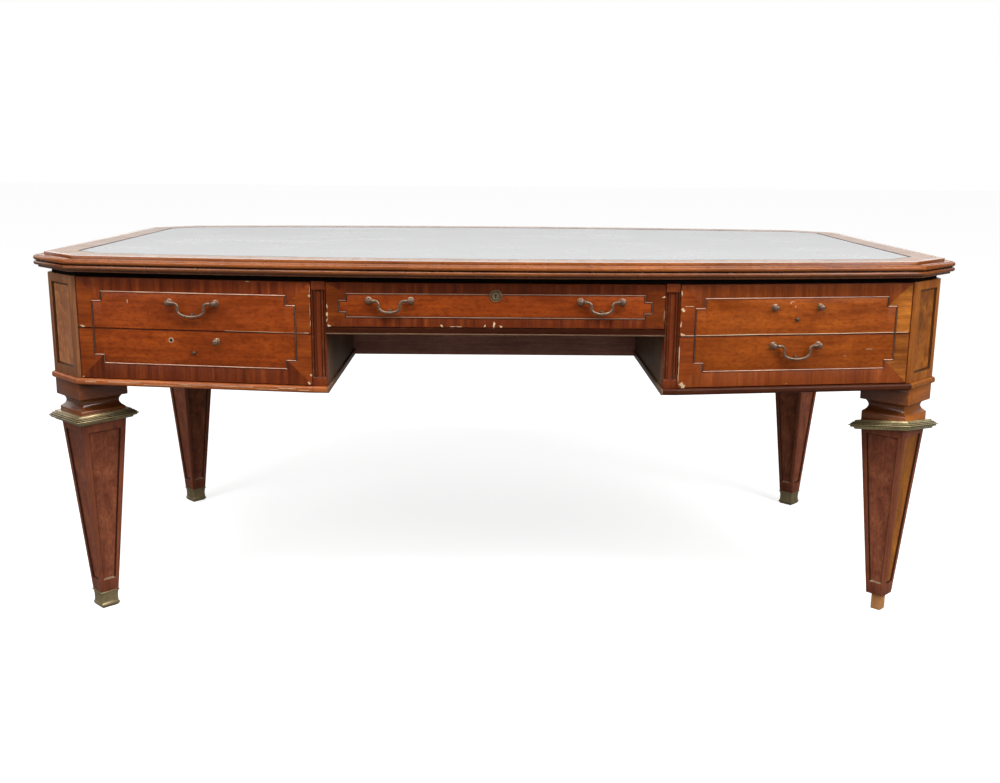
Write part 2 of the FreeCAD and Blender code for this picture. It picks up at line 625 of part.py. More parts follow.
def loose_collar(seat):
    """The slipped collar, leaning: its top nears the plinth in front, its foot the shaft behind."""
    rise = math.sin(math.radians(LOOSE_COLLAR_PITCH))
    level = math.cos(math.radians(LOOSE_COLLAR_PITCH))
    plinth = SHAFT_SIDE / math.sqrt(2)
    foot = seat - plinth * rise - COLLAR_HEIGHT * level
    shaft = shaft_half(foot) * math.sqrt(2)
    reach = (plinth + shaft + COLLAR_HEIGHT * rise) / 2 + LOOSE_COLLAR_SLIP
    ring = collar(reach / level / math.sqrt(2))
    ring = turned(turned(ring, LOOSE_COLLAR_TILT, axis=V(1, 1, 0)), -LOOSE_COLLAR_PITCH, axis=V(1, -1, 0))
    aside = (reach - plinth - LOOSE_COLLAR_SLIP) / math.sqrt(2)
    return moved(ring, aside, aside, seat)


def sabot():
    """Brass shoe: lip, hollow body and flared base, open for the tenon."""
    lip, base = SABOT_LIP / 2, SABOT_BASE / 2
    waist, sole = SABOT_WAIST / 2, SABOT_SOLE / 2
    under_lip = FOOT_HEIGHT - SABOT_LIP_HEIGHT
    body_foot = SABOT_BASE_HEIGHT + SABOT_BASE_SLOPE
    shoe = square_turning((sole, 0), [
        [(base, SABOT_UNDERCUT)],
        [(base, SABOT_BASE_HEIGHT)],
        [(waist + SABOT_BASE_FLARE, body_foot)],
        [(waist, (body_foot + under_lip) / 2), (waist + SABOT_LIP_FLARE, under_lip)],
        [(lip, under_lip)],
        [(lip, FOOT_HEIGHT)]])
    h = TENON_SIDE / 2 + SABOT_PLAY
    return shoe.cut(box(-h, h, -h, h, 0, FOOT_HEIGHT))


def build_legs():
    """Four legs set cornerwise, with dowels, collars and the three sabots that are left."""
    leg = leg_head().fuse(leg_shaft()).removeSplitter()
    ring, shoe = collar(SHAFT_SIDE / 2 + COLLAR_PLAY), sabot()
    seat = SHAFT_TOP + COLLAR_HEIGHT / 2
    seated = {LOOSE_COLLAR_LEG: loose_collar(seat - LOOSE_COLLAR_DROP),
              BENT_COLLAR_LEG: moved(turned(ring, BENT_COLLAR_TILT, axis=V(1, 1, 0)), 0, 0, seat)}
    dowel = rod(DOWEL, V(0, 0, CASE_FLOOR - DOWEL_DEPTH), V(0, 0, FLOOR_TOP))
    legs, rings, shoes, dowels = [], [], [], []
    for sx, sy in QUARTERS:
        def place(shape):
            return moved(turned(shape, 45), sx * LEG_X, sy * LEG_Y, 0)

        legs.append(place(leg))
        dowels.append(place(dowel))
        rings.append(place(seated.get((sx, sy)) or moved(ring, 0, 0, seat)))
        if (sx, sy) != BARE_LEG:
            shoes.append(place(shoe))
    save("legs", legs)
    save("leg_dowels", dowels)
    save("leg_collars", rings)
    save("sabots", shoes)


# Handles and locks, modelled at the origin with the drawer face in the XZ plane, outwards to -Y
def handle_post():
    """Turned post: rose, neck and knob."""
    knob_foot = PIVOT_REACH - KNOB_HEIGHT / 2
    rose = rod(POST_ROSE, V(0, 0, 0), V(0, -ROSE_HEIGHT, 0))
    neck = rod(POST_NECK, V(0, 0, 0), V(0, -PIVOT_REACH, 0))
    knob = rod(POST_KNOB, V(0, -knob_foot, 0), V(0, -knob_foot - KNOB_HEIGHT, 0))
    radius = min(KNOB_ROUND, ROUND_LIMIT * KNOB_HEIGHT, ROUND_LIMIT * POST_KNOB)
    knob = knob.makeFillet(radius, [e for e in knob.Edges if len(e.Vertexes) == 1])
    return rose.fuse([neck, knob]).removeSplitter()


def post_pair(spacing, sides=(-1, 1)):
    """Posts drilled for the bail's pins."""
    posts = []
    for side in sides:
        inner_face = spacing / 2 - POST_KNOB / 2
        hole = rod(PIVOT_PIN + 2 * PIVOT_PLAY, V(side * (inner_face - 1), -PIVOT_REACH, 0),
                   V(side * (inner_face + PIVOT_DEPTH + PIVOT_PLAY), -PIVOT_REACH, 0))
        posts.append(moved(handle_post(), side * spacing / 2, 0, 0).cut(hole))
    return posts


def bend_rod(start, centre, degrees):
    """A bend of the bail's rod in its own plane, from start round a centre."""
    arm = start - centre
    section = Part.Face(Part.Wire(Part.Circle(start, V(arm.z, 0, -arm.x), BAIL_ROD / 2).toShape()))
    return section.revolve(centre, V(0, math.copysign(1, degrees), 0), abs(degrees))


def bail(spacing, drop):
    """Drop handle that hangs straight down, with a pin at each end and a bowed grip."""
    shoulder = spacing / 2 - POST_KNOB / 2 - PIVOT_PLAY
    upright = spacing / 2 - BAIL_NECK
    high = min(BAIL_SHOULDER_BEND, 2 * ROUND_LIMIT * (shoulder - upright), ROUND_LIMIT * drop)
    sag = GRIP_SAG * drop
    low = min(BAIL_FOOT_BEND, ROUND_LIMIT * upright, ROUND_LIMIT * drop - sag)
    reach = ((upright - low) ** 2 + sag ** 2) / (2 * sag)
    bow = math.degrees(math.asin((upright - low) / reach))

    def at(x, z):
        return V(x, -PIVOT_REACH, z)

    foot = at(upright, low + sag - drop)
    corner = at(upright - low, low + sag - drop)
    grip = at(0, low + reach - drop)
    slope = (corner - grip).normalize()
    half = rod(PIVOT_PIN, at(shoulder - BAIL_ROD / 2, 0), at(shoulder + PIVOT_PLAY + PIVOT_DEPTH, 0))
    half = half.fuse([
        rod(BAIL_ROD, at(shoulder, 0), at(upright + high, 0)),
        bend_rod(at(upright + high, 0), at(upright + high, -high), -90),
        rod(BAIL_ROD, at(upright, -high), foot),
        bend_rod(foot, corner, 90 - bow),
        bend_rod(corner + slope * low, grip, bow)])
    return half.fuse(turned(half, 180, at(0, 0))).removeSplitter()


def stud(drop):
    """Small button that the hanging bail rests against."""
    z = STUD_RISE - drop
    button = rod(STUD_WIDTH, V(0, 0, z), V(0, -STUD_HEIGHT, z))
    rim = [e for e in button.Edges if abs(e.CenterOfMass.y + STUD_HEIGHT) < SAME]
    return button.makeFillet(min(STUD_ROUND, ROUND_LIMIT * STUD_HEIGHT, ROUND_LIMIT * STUD_WIDTH), rim)


def lock_line():
    """Depth of the middle of the lock bolt, from the middle of the desk."""
    return FRONT - FRONT_THICKNESS - LOCK_CASE_DEPTH / 2


def lock():
    """Round key plate, and the barrel and case behind it with a channel for the bolt."""
    z = CASE_TOP - DRAWER_GAP - LOCK_DROP
    face = -FRONT
    plate = rod(LOCK_PLATE, V(0, face, z), V(0, face - LOCK_PLATE_HEIGHT, z))
    barrel = rod(LOCK_BARREL, V(0, face, z), V(0, face + FRONT_THICKNESS, z))
    top = CASE_TOP - DRAWER_GAP - LOCK_TOP_GAP
    y0 = face + FRONT_THICKNESS
    wide = LOCK_CASE_WIDTH / 2
    case = box(-wide, wide, y0, y0 + LOCK_CASE_DEPTH, top - LOCK_CASE_HEIGHT, top)
    half, deep = BOLT_WIDTH / 2 + BOLT_PLAY, BOLT_DEPTH / 2 + BOLT_PLAY
    middle = -lock_line()
    channel = box(-half, half, middle - deep, middle + deep, top - BOLT_LENGTH - BOLT_PLAY, top)
    return [plate, case.cut(channel).fuse(barrel).removeSplitter()]


def lock_bolt():
    """The tongue that rises out of the lock case into the frieze."""
    top = CASE_TOP - DRAWER_GAP - LOCK_TOP_GAP
    half, deep = BOLT_WIDTH / 2, BOLT_DEPTH / 2
    middle = -lock_line()
    return box(-half, half, middle - deep, middle + deep, top - BOLT_LENGTH, top)


# Drawers
def wing_place(side, z):
    """A mover that takes a handle from the origin to the middle of a pedestal drawer's face."""
    x = (DRAWER_INNER + DRAWER_OUTER) / 2

    def place(shape):
        return moved(turned(shape, side * FRONT_ANGLE), side * x, -front_depth(x), z)
    return place


def centre_place(side, z):
    """A mover that takes a handle from the origin to one half of a centre drawer's face."""
    return lambda shape: moved(shape, side * CENTRE_HANDLE_X, -FRONT, z)


def wing_front(side, z):
    """Slanted front of a pedestal drawer."""
    face = [(x, -front_depth(x)) for x in (DRAWER_INNER, DRAWER_OUTER)]
    rear = [(x, y + FRONT_THICKNESS) for x, y in face[::-1]]
    return prism(mirrored(face + rear, side, 1), z, z + FRONT_HEIGHT)


def wing_tray(side, z):
    """Two sides, back and bottom of a pedestal drawer, behind its slanted front."""
    x0, x1 = TRAY_INNER, TRAY_OUTER
    w = TRAY_WALL
    rear = -BOARD / 2 - TRAY_END_GAP
    foot = z + TRAY_BOTTOM_RISE
    top = z + TRAY_HEIGHT

    def board(xa, xb, y1, z0, z1, y0=None):
        ya, yb = [-front_depth(x) + FRONT_THICKNESS if y0 is None else y0 for x in (xa, xb)]
        return prism(mirrored([(xa, ya), (xb, yb), (xb, y1), (xa, y1)], side, 1), z0, z1)

    return [board(x0, x0 + w, rear, z, top), board(x1 - w, x1, rear, z, top),
            board(x0 + w, x1 - w, rear, z, top, rear - w),
            board(x0 + w, x1 - w, rear - w, foot, foot + TRAY_BOTTOM)]


def centre_tray():
    """Two sides, back and bottom of a centre drawer."""
    half = KNEE - DRAWER_GAP - FRONT_LAP
    z = CENTRE_FRONT + RUNNING_GAP
    top = z + CENTRE_TRAY_HEIGHT
    y0, y1 = -FRONT + FRONT_THICKNESS, -KNEE_BACK - TRAY_END_GAP
    w = TRAY_WALL
    foot = z + TRAY_BOTTOM_RISE
    return [box(-half, w - half, y0, y1, z, top), box(half - w, half, y0, y1, z, top),
            box(w - half, half - w, y1 - w, y1, z, top),
            box(w - half, half - w, y0, y1 - w, foot, foot + TRAY_BOTTOM)]


def build_wing_drawer(end, turn, bay, side, level, has_bail, posts):
    """One pedestal drawer with its handle, on the front or turned round to the back."""
    name = f"{end}_{bay}_{level}"
    z = LOWER_FRONT if level == "lower" else UPPER_FRONT
    drop = LOWER_POST_DROP if level == "lower" else UPPER_POST_DROP
    runner = FLOOR_TOP if level == "lower" else DIVIDER_TOP
    place = wing_place(side, z + FRONT_HEIGHT - drop)
    front = wing_front(side, z)
    for lost in (-1, 1):
        if lost not in posts:
            x = lost * WIDE_POST_SPACING / 2
            front = front.cut(place(rod(SCREW_HOLE, V(x, -1, 0), V(x, SCREW_HOLE_DEPTH, 0))))
    fittings = [place(shape) for shape in post_pair(WIDE_POST_SPACING, posts) + [stud(WIDE_BAIL_DROP)]]
    save(f"{name}_front", [turned(front, turn)])
    save(f"{name}_tray", [turned(wall, turn) for wall in wing_tray(side, runner + RUNNING_GAP)])
    save(f"{name}_fittings", [turned(shape, turn) for shape in fittings])
    if has_bail:
        save(f"{name}_bail", [turned(place(bail(WIDE_POST_SPACING, WIDE_BAIL_DROP)), turn)])


def build_centre_drawer(end, turn):
    """A centre drawer with two handles and a lock."""
    name = f"{end}_centre"
    front = box(DRAWER_GAP - KNEE, KNEE - DRAWER_GAP, -FRONT, FRONT_THICKNESS - FRONT,
                CENTRE_FRONT, CENTRE_FRONT + CENTRE_FRONT_HEIGHT)
    z = CASE_TOP - DRAWER_GAP - LOCK_DROP
    front = front.cut(rod(LOCK_BARREL, V(0, -FRONT, z), V(0, FRONT_THICKNESS - FRONT, z)))
    fittings = lock()
    for side, word in ((-1, "left"), (1, "right")):
        place = centre_place(side, CENTRE_FRONT + CENTRE_FRONT_HEIGHT - CENTRE_POST_DROP)
        fittings += [place(shape) for shape in post_pair(CENTRE_POST_SPACING) + [stud(CENTRE_BAIL_DROP)]]
        save(f"{name}_{word}_bail", [turned(place(bail(CENTRE_POST_SPACING, CENTRE_BAIL_DROP)), turn)])
    save(f"{name}_front", [turned(front, turn)])
    save(f"{name}_tray", [turned(wall, turn) for wall in centre_tray()])
    save(f"{name}_fittings", [turned(shape, turn) for shape in fittings])
    save(f"{end}_lock_bolt", [turned(lock_bolt(), turn)])


def build_drawers():
    """Five drawers a side. Two front ones have lost their bails, one of them a post as well."""
    lost_bail = {("front", "right", "upper"): (-1, 1), ("front", "left", "lower"): (1,)}
    for end, turn in (("front", 0), ("back", 180)):
        build_centre_drawer(end, turn)
        for bay, side in (("left", -1), ("right", 1)):
            for level in ("upper", "lower"):
                posts = lost_bail.get((end, bay, level))
                build_wing_drawer(end, turn, bay, side, level, posts is None, posts or (-1, 1))


os.makedirs("parts", exist_ok=True)
build_top()
build_case()
build_legs()
build_drawers()
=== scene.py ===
import math

import bmesh
import bpy
from mathutils import Matrix, Vector


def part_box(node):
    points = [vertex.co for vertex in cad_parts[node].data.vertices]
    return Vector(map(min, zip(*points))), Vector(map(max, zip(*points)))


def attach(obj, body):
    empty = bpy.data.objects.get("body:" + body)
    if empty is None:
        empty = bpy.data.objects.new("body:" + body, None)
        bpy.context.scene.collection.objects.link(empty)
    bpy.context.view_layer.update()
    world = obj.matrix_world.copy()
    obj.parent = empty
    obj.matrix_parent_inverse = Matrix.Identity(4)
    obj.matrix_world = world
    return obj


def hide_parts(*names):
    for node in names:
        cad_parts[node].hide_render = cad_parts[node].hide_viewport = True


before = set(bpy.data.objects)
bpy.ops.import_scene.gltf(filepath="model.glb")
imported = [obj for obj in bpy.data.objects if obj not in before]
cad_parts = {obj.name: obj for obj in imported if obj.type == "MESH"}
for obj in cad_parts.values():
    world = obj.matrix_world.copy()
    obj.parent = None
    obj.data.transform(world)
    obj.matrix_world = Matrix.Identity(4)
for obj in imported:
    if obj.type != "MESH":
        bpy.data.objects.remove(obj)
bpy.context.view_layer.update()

bl_info = {
    "name": "Partners desk",
    "version": (1, 0, 0),
    "blender": (4, 5, 0),
    "location": "View3D > Sidebar > Desk",
    "description": "Dresses the frame of a two-sided desk in veneer, brass and leather",
    "category": "Object",
}

QUARTERS = ((-1, -1), (1, -1), (1, 1), (-1, 1))
SIDES = (("left", -1), ("right", 1))
ENDS = (("front", 0.0), ("back", math.pi))
X, Y, Z = Vector((1, 0, 0)), Vector((0, 1, 0)), Vector((0, 0, 1))

# The frame's plan and heights, in metres
EDGE_LOW, EDGE_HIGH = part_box("top_edge_moulding")
HALF_TOP, HALF_DEPTH, TOP = EDGE_HIGH
UNDER = EDGE_LOW.z
EDGE_WIDTH = HALF_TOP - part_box("top_board")[1].x
LEATHER_LOW, LEATHER_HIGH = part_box("leather_inset")
BORDER = HALF_TOP - LEATHER_HIGH.x
LINE = 0.0050
BORDER_DEPTH = 0.012
TOP_BOW = 0.073
TOP_CUT = 0.098
TOP_CORNER = HALF_DEPTH - TOP_BOW
BOW_RADIUS = ((HALF_TOP - TOP_CUT) ** 2 + TOP_BOW ** 2) / (2 * TOP_BOW)
BOW_CENTRE = HALF_DEPTH - BOW_RADIUS
CASE_CUT = 0.075
CASE_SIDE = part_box("end_panels")[1].x
LEG_X = CASE_SIDE - CASE_CUT
LEG_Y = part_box("legs")[1].y - CASE_CUT
CASE_CORNER = LEG_Y + CASE_CUT
CASE_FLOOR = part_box("base_moulding")[0].z
FLOOR_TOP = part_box("base_moulding")[1].z
CASE_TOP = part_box("corner_posts")[1].z
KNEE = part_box("kneehole_rails")[1].x
WING, FRONT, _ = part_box("stiles")[1]
FRONT_SLOPE = (FRONT - CASE_CORNER) / (LEG_X - WING)
FRONT_ANGLE = math.atan(FRONT_SLOPE)
FRONT_THICKNESS = 0.022
BLOCK_HALF = CASE_CUT / math.sqrt(2)
# Panels of posts and stiles
PANEL_FOOT, PANEL_HEAD = FLOOR_TOP + 0.017, CASE_TOP - 0.016
PANEL_MIDDLE = (PANEL_FOOT + PANEL_HEAD) / 2
POST_HEIGHTS = (FLOOR_TOP, PANEL_FOOT, PANEL_HEAD, CASE_TOP)
# Collars out of place: half the hole, height of the top, and the lean about the desk's depth and width
COLLAR_SEATS = {(1, -1): (0.05055, 0.42925, -1.1, -10.5), (-1, -1): (0.0496, 0.44125, -2.0, 0.0)}
LEVEL_COLLAR = (0.0496, 0.44125, 0.0, 0.0)
BARE_LEG = (1, -1)
# Drawers without a bail, with the sides on which they have kept a post
LOST_BAILS = {("front", "right", "upper"): (-1, 1), ("front", "left", "lower"): (1,)}
# Distance between a handle's posts, and how far its bail hangs
WING_HANDLE = (0.095, 0.027)
CENTRE_HANDLE = (0.082, 0.023)
# Centre drawers: handles' distance from the middle and height, and height of the lock
CENTRE_ASIDE, CENTRE_HEIGHT = 0.207, 0.695
KEY_HEIGHT = 0.7055
# Middle of a pedestal drawer, and foot, head and handle's height of each level
WING_MIDDLE = 0.601
LEVELS = {"upper": (0.62775, 0.7295, 0.683), "lower": (0.5245, 0.62625, 0.60675)}
# Finishes by short name, filled by the first operator
MATERIALS = {}


class DeskSizes(bpy.types.PropertyGroup):
    """Small shapes that the frame leaves to the looks."""
    bead: bpy.props.FloatProperty(
        name="Bead", description="Radius of the bead on a drawer front", default=0.0014, unit="LENGTH")
    quirk: bpy.props.FloatProperty(
        name="Quirk", description="Half the width of the groove that the bead lies in", default=0.0017,
        unit="LENGTH")
    quirk_depth: bpy.props.FloatProperty(
        name="Quirk depth", description="Depth of that groove", default=0.0009, unit="LENGTH")
    arris: bpy.props.FloatProperty(
        name="Arris", description="Rounding of worn wooden edges", default=0.0011, unit="LENGTH")
    sink: bpy.props.FloatProperty(
        name="Panel sink", description="Depth of the sunk panels of posts and stiles", default=0.004,
        unit="LENGTH")
    leg_sink: bpy.props.FloatProperty(
        name="Leg panel sink", description="Depth of the sunk panels of the legs", default=0.004,
        unit="LENGTH")


def colour(name, description, default):
    """A colour that a user may change."""
    return bpy.props.FloatVectorProperty(
        name=name, description=description, default=default, subtype="COLOR", size=3, min=0.0, max=1.0)


class DeskColours(bpy.types.PropertyGroup):
    """Main tones of the finishes, linear."""
    field: colour("Drawer field", "Figured veneer inside the bead", (0.290, 0.049, 0.0056))
    band: colour("Cross band", "Dark bands over and under the fields", (0.140, 0.024, 0.0050))
    side_band: colour("Side band", "Bands beside the fields", (0.260, 0.048, 0.0058))
    gold: colour("Golden wood", "Bands and strips that have faded to gold", (0.420, 0.126, 0.018))
    # The bead tone is rubbed finish with a painted highlight on the beads' upper sides
    bead: colour("Bead", "Rubbed upper side of the beads", (0.760, 0.400, 0.280))
    frame_wood: colour("Posts", "Solid wood of the corner posts", (0.355, 0.106, 0.017))
    pale_post: colour("Left posts", "Dulled wood of the corner posts on the left", (0.450, 0.175, 0.072))
    stile: colour("Stiles", "Solid wood beside the kneehole", (0.200, 0.038, 0.0090))
    leg: colour("Legs", "Solid wood of the legs", (0.250, 0.071, 0.034))
    edge: colour("Top edge", "Moulded edge of the top", (0.330, 0.088, 0.016))
    # The border tone is the wood's own, made paler and greyer as painted glare
    border: colour("Border", "Flat border round the leather", (0.360, 0.190, 0.110))
    base: colour("Base strip", "Strip round the foot of the case", (0.300, 0.080, 0.020))
    shade: colour("Kneehole", "Dull wood inside the kneehole", (0.175, 0.096, 0.058))
    # Near black: ebonised frieze with painted shade under the top, and painted shade in the keyhole and screw
    # hole
    black: colour("Frieze", "Blackened rails under the top", (0.010, 0.007, 0.005))
    lining: colour("Drawer lining", "Plain wood of the drawer trays", (0.420, 0.240, 0.110))
    raw: colour("Bare wood", "Wood under a chipped finish", (0.660, 0.440, 0.280))
    brass: colour("Brass", "Aged brass of handles, collars and shoes", (0.420, 0.320, 0.165))
    bronze: colour("Dark brass", "Brass that has gone dark", (0.110, 0.075, 0.045))
    leather: colour("Leather", "Worn leather of the writing surface", (0.320, 0.322, 0.328))


class DeskStage(bpy.types.PropertyGroup):
    """Camera and light."""
    lens: bpy.props.FloatProperty(
        name="Focal length", description="For a sensor 36 mm wide", default=40.168, unit="CAMERA")
    key: bpy.props.FloatProperty(
        name="Key light", description="Soft light from the right", default=100.0, unit="POWER")
    fill: bpy.props.FloatProperty(
        name="Fill light", description="Weaker soft light from the left", default=40.0, unit="POWER")
    over: bpy.props.FloatProperty(
        name="Overhead light", description="Long light above the front edge", default=100.0, unit="POWER")
    sky: bpy.props.FloatProperty(
        name="Room light", description="Even light from all round", default=0.32)


# Plan of the frame
def top_corner(d):
    """Where the bowed edge meets the cut corner, with the top's outline moved in by d."""
    line = HALF_TOP + TOP_CORNER - TOP_CUT - d * math.sqrt(2)
    half_b = (line + BOW_CENTRE) / 2
    c = (line ** 2 + BOW_CENTRE ** 2 - (BOW_RADIUS - d) ** 2) / 2
    depth = half_b + math.sqrt(half_b ** 2 - c)
    return line - depth, depth


def top_tip(d):
    """Where the cut corner meets the end of the top, with the outline moved in by d."""
    line = HALF_TOP + TOP_CORNER - TOP_CUT - d * math.sqrt(2)
    return HALF_TOP - d, line - (HALF_TOP - d)


def front_depth(x):
    """Distance of the case's long face from the middle of the desk."""
    return FRONT - FRONT_SLOPE * max(0.0, abs(x) - WING)


# Modelling
def make_active(obj):
    """Selects one object alone and makes it active."""
    bpy.ops.object.select_all(action="DESELECT")
    obj.select_set(True)
    bpy.context.view_layer.objects.active = obj


def edit(obj):
    """Opens an object for editing with all its faces selected."""
    make_active(obj)
    bpy.ops.object.mode_set(mode="EDIT")
    bpy.ops.mesh.select_mode(type="FACE")
    bpy.ops.mesh.select_all(action="SELECT")


def close_edit():
    """Goes back from editing."""
    bpy.ops.object.mode_set(mode="OBJECT")


def choose(obj, test):
    """Selects the faces of an open object that a test of centre and normal accepts."""
    bpy.ops.mesh.select_all(action="DESELECT")
    mesh = bmesh.from_edit_mesh(obj.data)
    for face in mesh.faces:
        if test(face.calc_center_median(), face.normal):
            face.select_set(True)
    bmesh.update_edit_mesh(obj.data)


def settle(obj):
    """Merges doubled points and turns all faces outwards."""
    edit(obj)
    bpy.ops.mesh.remove_doubles(threshold=0.000004)
    bpy.ops.mesh.normals_make_consistent(inside=False)
    close_edit()
    return obj


def loft(rings, capped=True):
    """A skin over rings of the same number of points, extruded from each to the next."""
    bpy.ops.object.select_all(action="DESELECT")
    bpy.ops.mesh.primitive_circle_add(vertices=len(rings[0]), radius=1.0, fill_type="NGON")
    obj = bpy.context.object
    for vertex, point in zip(obj.data.vertices, rings[0]):
        vertex.co = point
    edit(obj)
    for here, there in zip(rings, rings[1:]):
        bpy.ops.mesh.extrude_region_move(TRANSFORM_OT_translate={"value": (0, 0, 0)})
        mesh = bmesh.from_edit_mesh(obj.data)
        for vertex in [v for v in mesh.verts if v.select]:
            index = min(range(len(here)), key=lambda i: (vertex.co - here[i]).length_squared)
            vertex.co = there[index]
        bmesh.update_edit_mesh(obj.data)
    if not capped:
        mesh = bmesh.from_edit_mesh(obj.data)
        caps = [f for f in mesh.faces if len(f.verts) == len(rings[0]) and len(rings[0]) > 4]
        bmesh.ops.delete(mesh, geom=caps, context="FACES_ONLY")
        bmesh.update_edit_mesh(obj.data)
    close_edit()
    return settle(obj)


def join(pieces):
    """One object out of several."""
    make_active(pieces[0])
    for piece in pieces[1:]:
        piece.select_set(True)
    if len(pieces) > 1:
        bpy.ops.object.join()
    return pieces[0]


def smooth(obj, degrees):
    """Shades an object smooth, apart from edges sharper than an angle."""
    make_active(obj)
    bpy.ops.object.shade_smooth_by_angle(angle=math.radians(degrees))
    return obj


def soften(obj, width, segments=2, degrees=35.0):
    """Rounds the sharp edges and shades the rest smooth."""
    make_active(obj)
    bevel = obj.modifiers.new("round", "BEVEL")
    bevel.width = width
    bevel.segments = segments
    bevel.limit_method = "ANGLE"
    bevel.angle_limit = math.radians(degrees)
    bpy.ops.object.modifier_apply(modifier=bevel.name)
    return smooth(obj, 40)


def sink_faces(obj, test, steps):
    """Sinks chosen faces in steps of (margin, depth)."""
    edit(obj)
    choose(obj, test)
    for margin, depth in steps:
        bpy.ops.mesh.inset(thickness=margin, depth=-depth, use_individual=True, use_even_offset=True)
    close_edit()


def score(obj, point, normal, test=None):
    """Divides faces along a line where a plane crosses them."""
    edit(obj)
    if test:
        choose(obj, test)
    bpy.ops.mesh.bisect(plane_co=point, plane_no=normal)
    close_edit()


def cube(low, high):
    """A box from its lowest to its highest corner, to be worked on."""
    low, high = Vector(low), Vector(high)
    bpy.ops.object.select_all(action="DESELECT")
    bpy.ops.mesh.primitive_cube_add(size=1.0, location=(low + high) / 2, scale=high - low)
    bpy.ops.object.transform_apply(location=True, rotation=True, scale=True)
    return bpy.context.object


def place(obj, matrix):
    """Moves the mesh itself."""
    obj.data.transform(matrix)
    obj.data.update()
    return obj


def copied(obj):
    """A copy with a mesh of its own."""
    copy = obj.copy()
    copy.data = obj.data.copy()
    bpy.context.collection.objects.link(copy)
    return copy


def lay_grain(obj, rule, shift=0.0, drift=0.0):
    """Gives each face coordinates along and across the grain, in metres, from a rule of centre and normal."""
    layer = obj.data.uv_layers.new(name="grain")
    for face in obj.data.polygons:
        along, across = rule(face.center, face.normal)
        for loop in face.loop_indices:
            point = obj.data.vertices[obj.data.loops[loop].vertex_index].co
            layer.data[loop].uv = (point.dot(along) + shift, point.dot(across) + drift)


def grain_along(way):
    """A rule for straight grain: each face is laid in its own plane, end grain across."""
    def rule(_, normal):
        along = way - normal * way.dot(normal)
        if along.length < 0.2:
            along = normal.orthogonal()
        along.normalize()
        return along, normal.cross(along)
    return rule


def paint(obj, names, rule=None):
    """Gives an object one finish or more, and each face one of them by a rule of centre and normal."""
    obj.data.materials.clear()
    for name in (names,) if isinstance(names, str) else names:
        obj.data.materials.append(MATERIALS[name])
    for face in obj.data.polygons:
        face.material_index = rule(face.center, face.normal) if rule else 0


def dress(obj, name, body, nodes=()):
    """Names a finished piece and hangs it on its body."""
    obj.name = name
    obj.data.name = name
    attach(obj, body)
    if nodes:
        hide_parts(*nodes)


# Materials
def node(tree, kind, inputs=None, **settings):
    """Adds a node, sets it up and links its inputs."""
    made = tree.nodes.new(kind)
    for key, value in settings.items():
        setattr(made, key, value)
    for key, value in (inputs or {}).items():
        if isinstance(value, bpy.types.NodeSocket):
            tree.links.new(value, made.inputs[key])
        else:
            made.inputs[key].default_value = value
    return made


def blank(name):
    """A material with an empty node tree."""
    material = bpy.data.materials.new(name)
    material.use_nodes = True
    material.node_tree.nodes.clear()
    return material, material.node_tree


def noise(tree, place_socket, scale, detail=3.0, rough=0.55, bend=0.0):
    """Noise stretched by a scale for each axis."""
    stretched = node(tree, "ShaderNodeMapping", {"Vector": place_socket, "Scale": scale})
    return node(tree, "ShaderNodeTexNoise", {
        "Vector": stretched.outputs[0], "Scale": 1.0, "Detail": detail, "Roughness": rough,
        "Distortion": bend}).outputs[0]


def remap(tree, value, low, high, to_low=0.0, to_high=1.0):
    """Maps a range onto another, clamped."""
    return node(tree, "ShaderNodeMapRange", {
        "Value": value, "From Min": low, "From Max": high, "To Min": to_low, "To Max": to_high}).outputs[0]


def math_node(tree, operation, a, b):
    """One operation on two values."""
    return node(tree, "ShaderNodeMath", {0: a, 1: b}, operation=operation).outputs[0]


def times(tree, a, b):
    """One product."""
    return math_node(tree, "MULTIPLY", a, b)


def between(tree, factor, a, b):
    """A value between two others."""
    return node(tree, "ShaderNodeMix", {0: factor, 2: a, 3: b}, data_type="FLOAT").outputs[0]


def mix(tree, factor, a, b):
    """Mixes two colours."""
    return node(tree, "ShaderNodeMix", {0: factor, 6: a, 7: b}, data_type="RGBA").outputs[2]


def ramp(tree, value, stops):
    """Colours along a value."""
    made = node(tree, "ShaderNodeValToRGB", {0: value})
    points = made.color_ramp.elements
    while len(points) < len(stops):
        points.new(0.5)
    for point, (place_at, tone) in zip(points, stops):
        point.position = place_at
        point.color = tone
    return made.outputs[0]


def shade(tone, factor, warm=1.0):
    """A lighter or darker tone, with more or less yellow."""
    r, g, b = tone
    return min(1.0, r * factor), min(1.0, g * factor * warm), min(1.0, b * factor)


def tint(tone, factor, warm=1.0):
    """The same with its alpha, for a socket."""
    return (*shade(tone, factor, warm), 1.0)


def edge_mask(tree, radius):
    """Near one on sharp edges and nought on flat faces."""
    soft = node(tree, "ShaderNodeBevel", {"Radius": radius}, samples=4).outputs[0]
    flat = node(tree, "ShaderNodeNewGeometry").outputs["Normal"]
    dot = node(tree, "ShaderNodeVectorMath", {0: soft, 1: flat}, operation="DOT_PRODUCT").outputs["Value"]
    return remap(tree, dot, 0.985, 0.85)


def corner_dirt_and_shade(tree, distance):
    """Near one in inner corners and grooves, nought on open faces: the mask of dirt and painted shade."""
    open_sky = node(tree, "ShaderNodeAmbientOcclusion", {"Distance": distance}, samples=8, only_local=True)
    return remap(tree, open_sky.outputs["AO"], 0.90, 0.50)


def finish(tree, **inputs):
    """The surface shader and the output."""
    shader = node(tree, "ShaderNodeBsdfPrincipled", {key.replace("_", " "): v for key, v in inputs.items()})
    node(tree, "ShaderNodeOutputMaterial", {"Surface": shader.outputs[0]})


def relief(tree, height, strength, distance, radius):
    """Normals of fine relief on softly rounded edges."""
    edges = node(tree, "ShaderNodeBevel", {"Radius": radius}, samples=4).outputs[0]
    return node(tree, "ShaderNodeBump", {
        "Strength": strength, "Distance": distance, "Height": height, "Normal": edges}).outputs[0]


